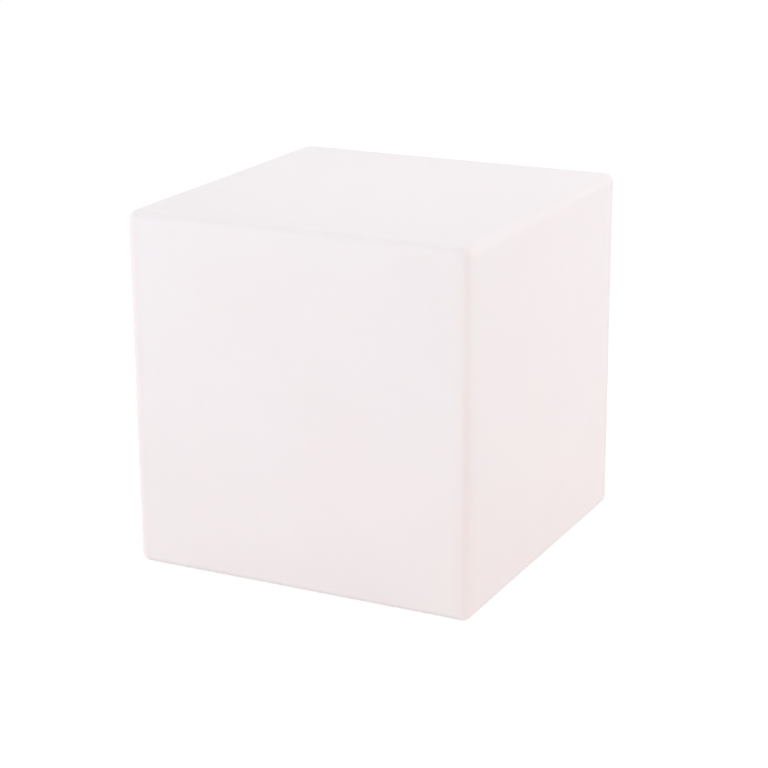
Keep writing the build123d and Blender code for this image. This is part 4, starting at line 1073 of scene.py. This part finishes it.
# %% [markdown]
# ## Wires
#
# Each wire has its own colour, as whoever mends the light will need it: red and black for the supply, and
# one colour each for the LED channels. A lead is one part that holds several wires. It could be split
# into one object for each wire, but the faces of a wire are told apart well enough by where they lie, so
# the other wires of a lead are painted over the first colour.


# %% Wires
def jacket(name, colour):
    """Soft vinyl round a wire: glossy, with the strands showing faintly through it."""
    made = Finish(name, colour, 0.34, IOR=1.53)
    darker = tuple(round(value * 0.88) for value in colour)
    made.colours(made.spread(made.noise(0.005), 0, 1), darker, colour)
    made.vary_gloss(made.noise(0.002), 0.26, 0.42)
    made.relief(made.noise(0.0007, detail=1.0), 0.008 * MM)
    return made


red, black = jacket("red_wire", (176, 34, 30)), jacket("black_wire", (38, 38, 40))
white, yellow = jacket("white_wire", (224, 224, 220)), jacket("yellow_wire", (222, 186, 52))
green, blue = jacket("green_wire", (44, 132, 66)), jacket("blue_wire", (42, 84, 168))


def middle_x(name):
    """Half way along a part, from left to right."""
    low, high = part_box(name)
    return (low.x + high.x) / 2


red.wear("switch_lead", "socket_lead", "battery_lead")
switch_middle, socket_middle = middle_x("switch_lead"), middle_x("socket_lead")
paint("switch_lead", white, lambda at, facing: at.x > switch_middle)
paint("socket_lead", black, lambda at, facing: at.x < socket_middle)
yellow.wear("lamp_lead")
paint("lamp_lead", black, lambda at, facing: at.x < 0)

# %% Wires to the LEDs and the battery
black.wear("led_lead")
wire_pitch = 2 * MM
for i, jacketed in enumerate((red, green, blue, white)):
    place = (i - 1) * wire_pitch
    paint("led_lead", jacketed, lambda at, facing: abs(at.x - place) < wire_pitch / 2)

wire_thick = 1.6 * MM
valley_room = 2.4 * MM  # how far the black wire reaches from the valley between the cells
black_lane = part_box("battery_lead")[1].x - wire_thick
valley = (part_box("battery_cells")[0].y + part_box("battery_cells")[1].y) / 2
header_middle = (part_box("control_board")[0].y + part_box("control_board")[1].y) / 2
paint(
    "battery_lead", black,
    lambda at, facing: at.x > black_lane or at.y < valley + valley_room or at.y > header_middle,
)

# %% [markdown]
# ## The studio
#
# A white object on a white ground is lit by the room more than by any lamp, so most of the light comes
# from an even world. That world is a little less than white, or the cube would burn out, but the camera
# should still see a white room. The Light Path node tells the two apart: a ray that comes from the eye,
# also by way of a mirror or glass, sees plain white, and every other ray gets the even light. The view
# transform is Standard, so a colour renders about as it is written.


# %% World
def looked_at(tree):
    """1 for a ray from the camera, a mirror or glass, and 0 for any other."""
    path = tree.nodes.new("ShaderNodeLightPath")
    so_far = path.outputs["Is Camera Ray"]
    for ray in ("Is Glossy Ray", "Is Transmission Ray"):
        larger = tree.nodes.new("ShaderNodeMath")
        larger.operation = "MAXIMUM"
        tree.links.new(so_far, larger.inputs[0])
        tree.links.new(path.outputs[ray], larger.inputs[1])
        so_far = larger.outputs[0]
    return so_far


room_strength = 0.706
world = bpy.data.worlds.new("studio")
bpy.context.scene.world = world
world.use_nodes = True
room = world.node_tree
even_light = room.nodes["Background"]
even_light.inputs["Color"].default_value = (1.0, 0.979, 0.99, 1.0)
even_light.inputs["Strength"].default_value = room_strength
plain_white = room.nodes.new("ShaderNodeBackground")
plain_white.inputs["Color"].default_value = (1, 1, 1, 1)
either = room.nodes.new("ShaderNodeMixShader")
room.links.new(looked_at(room), either.inputs[0])
room.links.new(even_light.outputs[0], either.inputs[1])
room.links.new(plain_white.outputs[0], either.inputs[2])
room.links.new(either.outputs[0], room.nodes["World Output"].inputs["Surface"])
bpy.context.scene.view_settings.view_transform = "Standard"
print("the room gives light at a strength of", room_strength)

# %% [markdown]
# Four large soft lamps shape the cube: a cool one and a warm one low in front, which light the front
# and hardly touch the top, and two high behind. The edge between the front and the right side faces none
# of them squarely, so it reads as the darkest line, and the edge between the top and the right side faces
# the high right lamp, so it reads as the brightest. No lamp is mirrored in glossy surfaces, because each
# would burn a white patch into the top where it is seen at a flat angle from across the room. Gloss comes
# from the white room instead.


# %% Lamps
def soft_lamp(name, place, size, power, colour):
    """A square lamp that faces the cube's middle."""
    data = bpy.data.lights.new(name, "AREA")
    data.size = size
    data.energy = power
    data.color = colour
    lamp = bpy.data.objects.new(name, data)
    bpy.context.scene.collection.objects.link(lamp)
    lamp.location = place
    to_cube = Vector((0, 0, side / 2)) - Vector(place)
    lamp.rotation_mode = "QUATERNION"
    lamp.rotation_quaternion = to_cube.to_track_quat("-Z", "Y")
    lamp.visible_camera = False
    lamp.visible_glossy = False
    print(f"{name} stands {to_cube.length:.1f} m away and gives {power} W")


soft_lamp("low_left", (-2.2, -1.9, 0.45), 1.6, 26.5, (0.822, 0.928, 1.0))
soft_lamp("low_front", (1.5, -2.9, 0.5), 1.4, 17.1, (1.0, 0.892, 0.858))
soft_lamp("high_right", (2.0, 1.0, 1.9), 1.4, 18.6, (1.0, 0.93, 0.915))
soft_lamp("high_left", (-2.2, 1.4, 2.0), 1.6, 18.9, (0.925, 0.961, 1.0))

# %% [markdown]
# ## The floor
#
# The floor is a wide pale disc. The camera sees it lifted nearly to white, and a little of its own shade
# is laid over that, which takes the open floor past white. Only a deep shadow could show on it, and round
# a pale cube that is lit from all sides next to none does. A shadow catcher could do that too, but its
# picture would have to be laid over white afterwards. Two things let the light unit be looked at from
# below: the disc is clear when it is seen from its underside, and it has an opening under the cube, where
# no view from above can see it, so light reaches the underside of the cube as well.

# %% Floor
floor_radius = 14.0
opening_margin = 12 * MM  # how far inside the cube's outline the opening stays
opening_half = shell_half.x - opening_margin
rim_steps = 64
floor_points, floor_faces = [], []
for i in range(rim_steps):
    angle = 2 * math.pi * (i + 0.5) / rim_steps
    direction = Vector((math.cos(angle), math.sin(angle), 0))
    to_square = opening_half / max(abs(direction.x), abs(direction.y))
    floor_points += [direction * to_square, direction * floor_radius]
    a, b = 2 * i, 2 * ((i + 1) % rim_steps)
    floor_faces.append((a, a + 1, b + 1, b))
floor = mesh_object("floor", floor_points, floor_faces, smooth=False)
if floor.data.polygons[0].normal.z < 0:
    floor.data.flip_normals()
print("the floor is a ring of", len(floor.data.polygons), "faces")

# %% The floor's finish
ground = Finish("pale_ground", (239, 237, 236), 0.9, Specular_IOR_Level=0.1)
lift = ground.add("ShaderNodeEmission", Color=(1, 1, 1, 1), Strength=0.9)
shade = ground.add("ShaderNodeBsdfDiffuse", Color=(0.17, 0.17, 0.17, 1))
lifted = ground.add("ShaderNodeAddShader", i0=lift.outputs[0], i1=shade.outputs[0])
from_above = ground.add(
    "ShaderNodeMixShader", i0=looked_at(ground.tree), i1=ground.shader.outputs[0], i2=lifted.outputs[0]
)
clear = ground.add("ShaderNodeBsdfTransparent")
underside = ground.add("ShaderNodeNewGeometry").outputs["Backfacing"]
either_side = ground.add("ShaderNodeMixShader", i0=underside, i1=from_above.outputs[0], i2=clear.outputs[0])
ground.tree.links.new(either_side.outputs[0], ground.tree.nodes["Material Output"].inputs["Surface"])
floor.data.materials.append(ground.material)
print("the floor's finish has", len(ground.tree.nodes), "nodes")
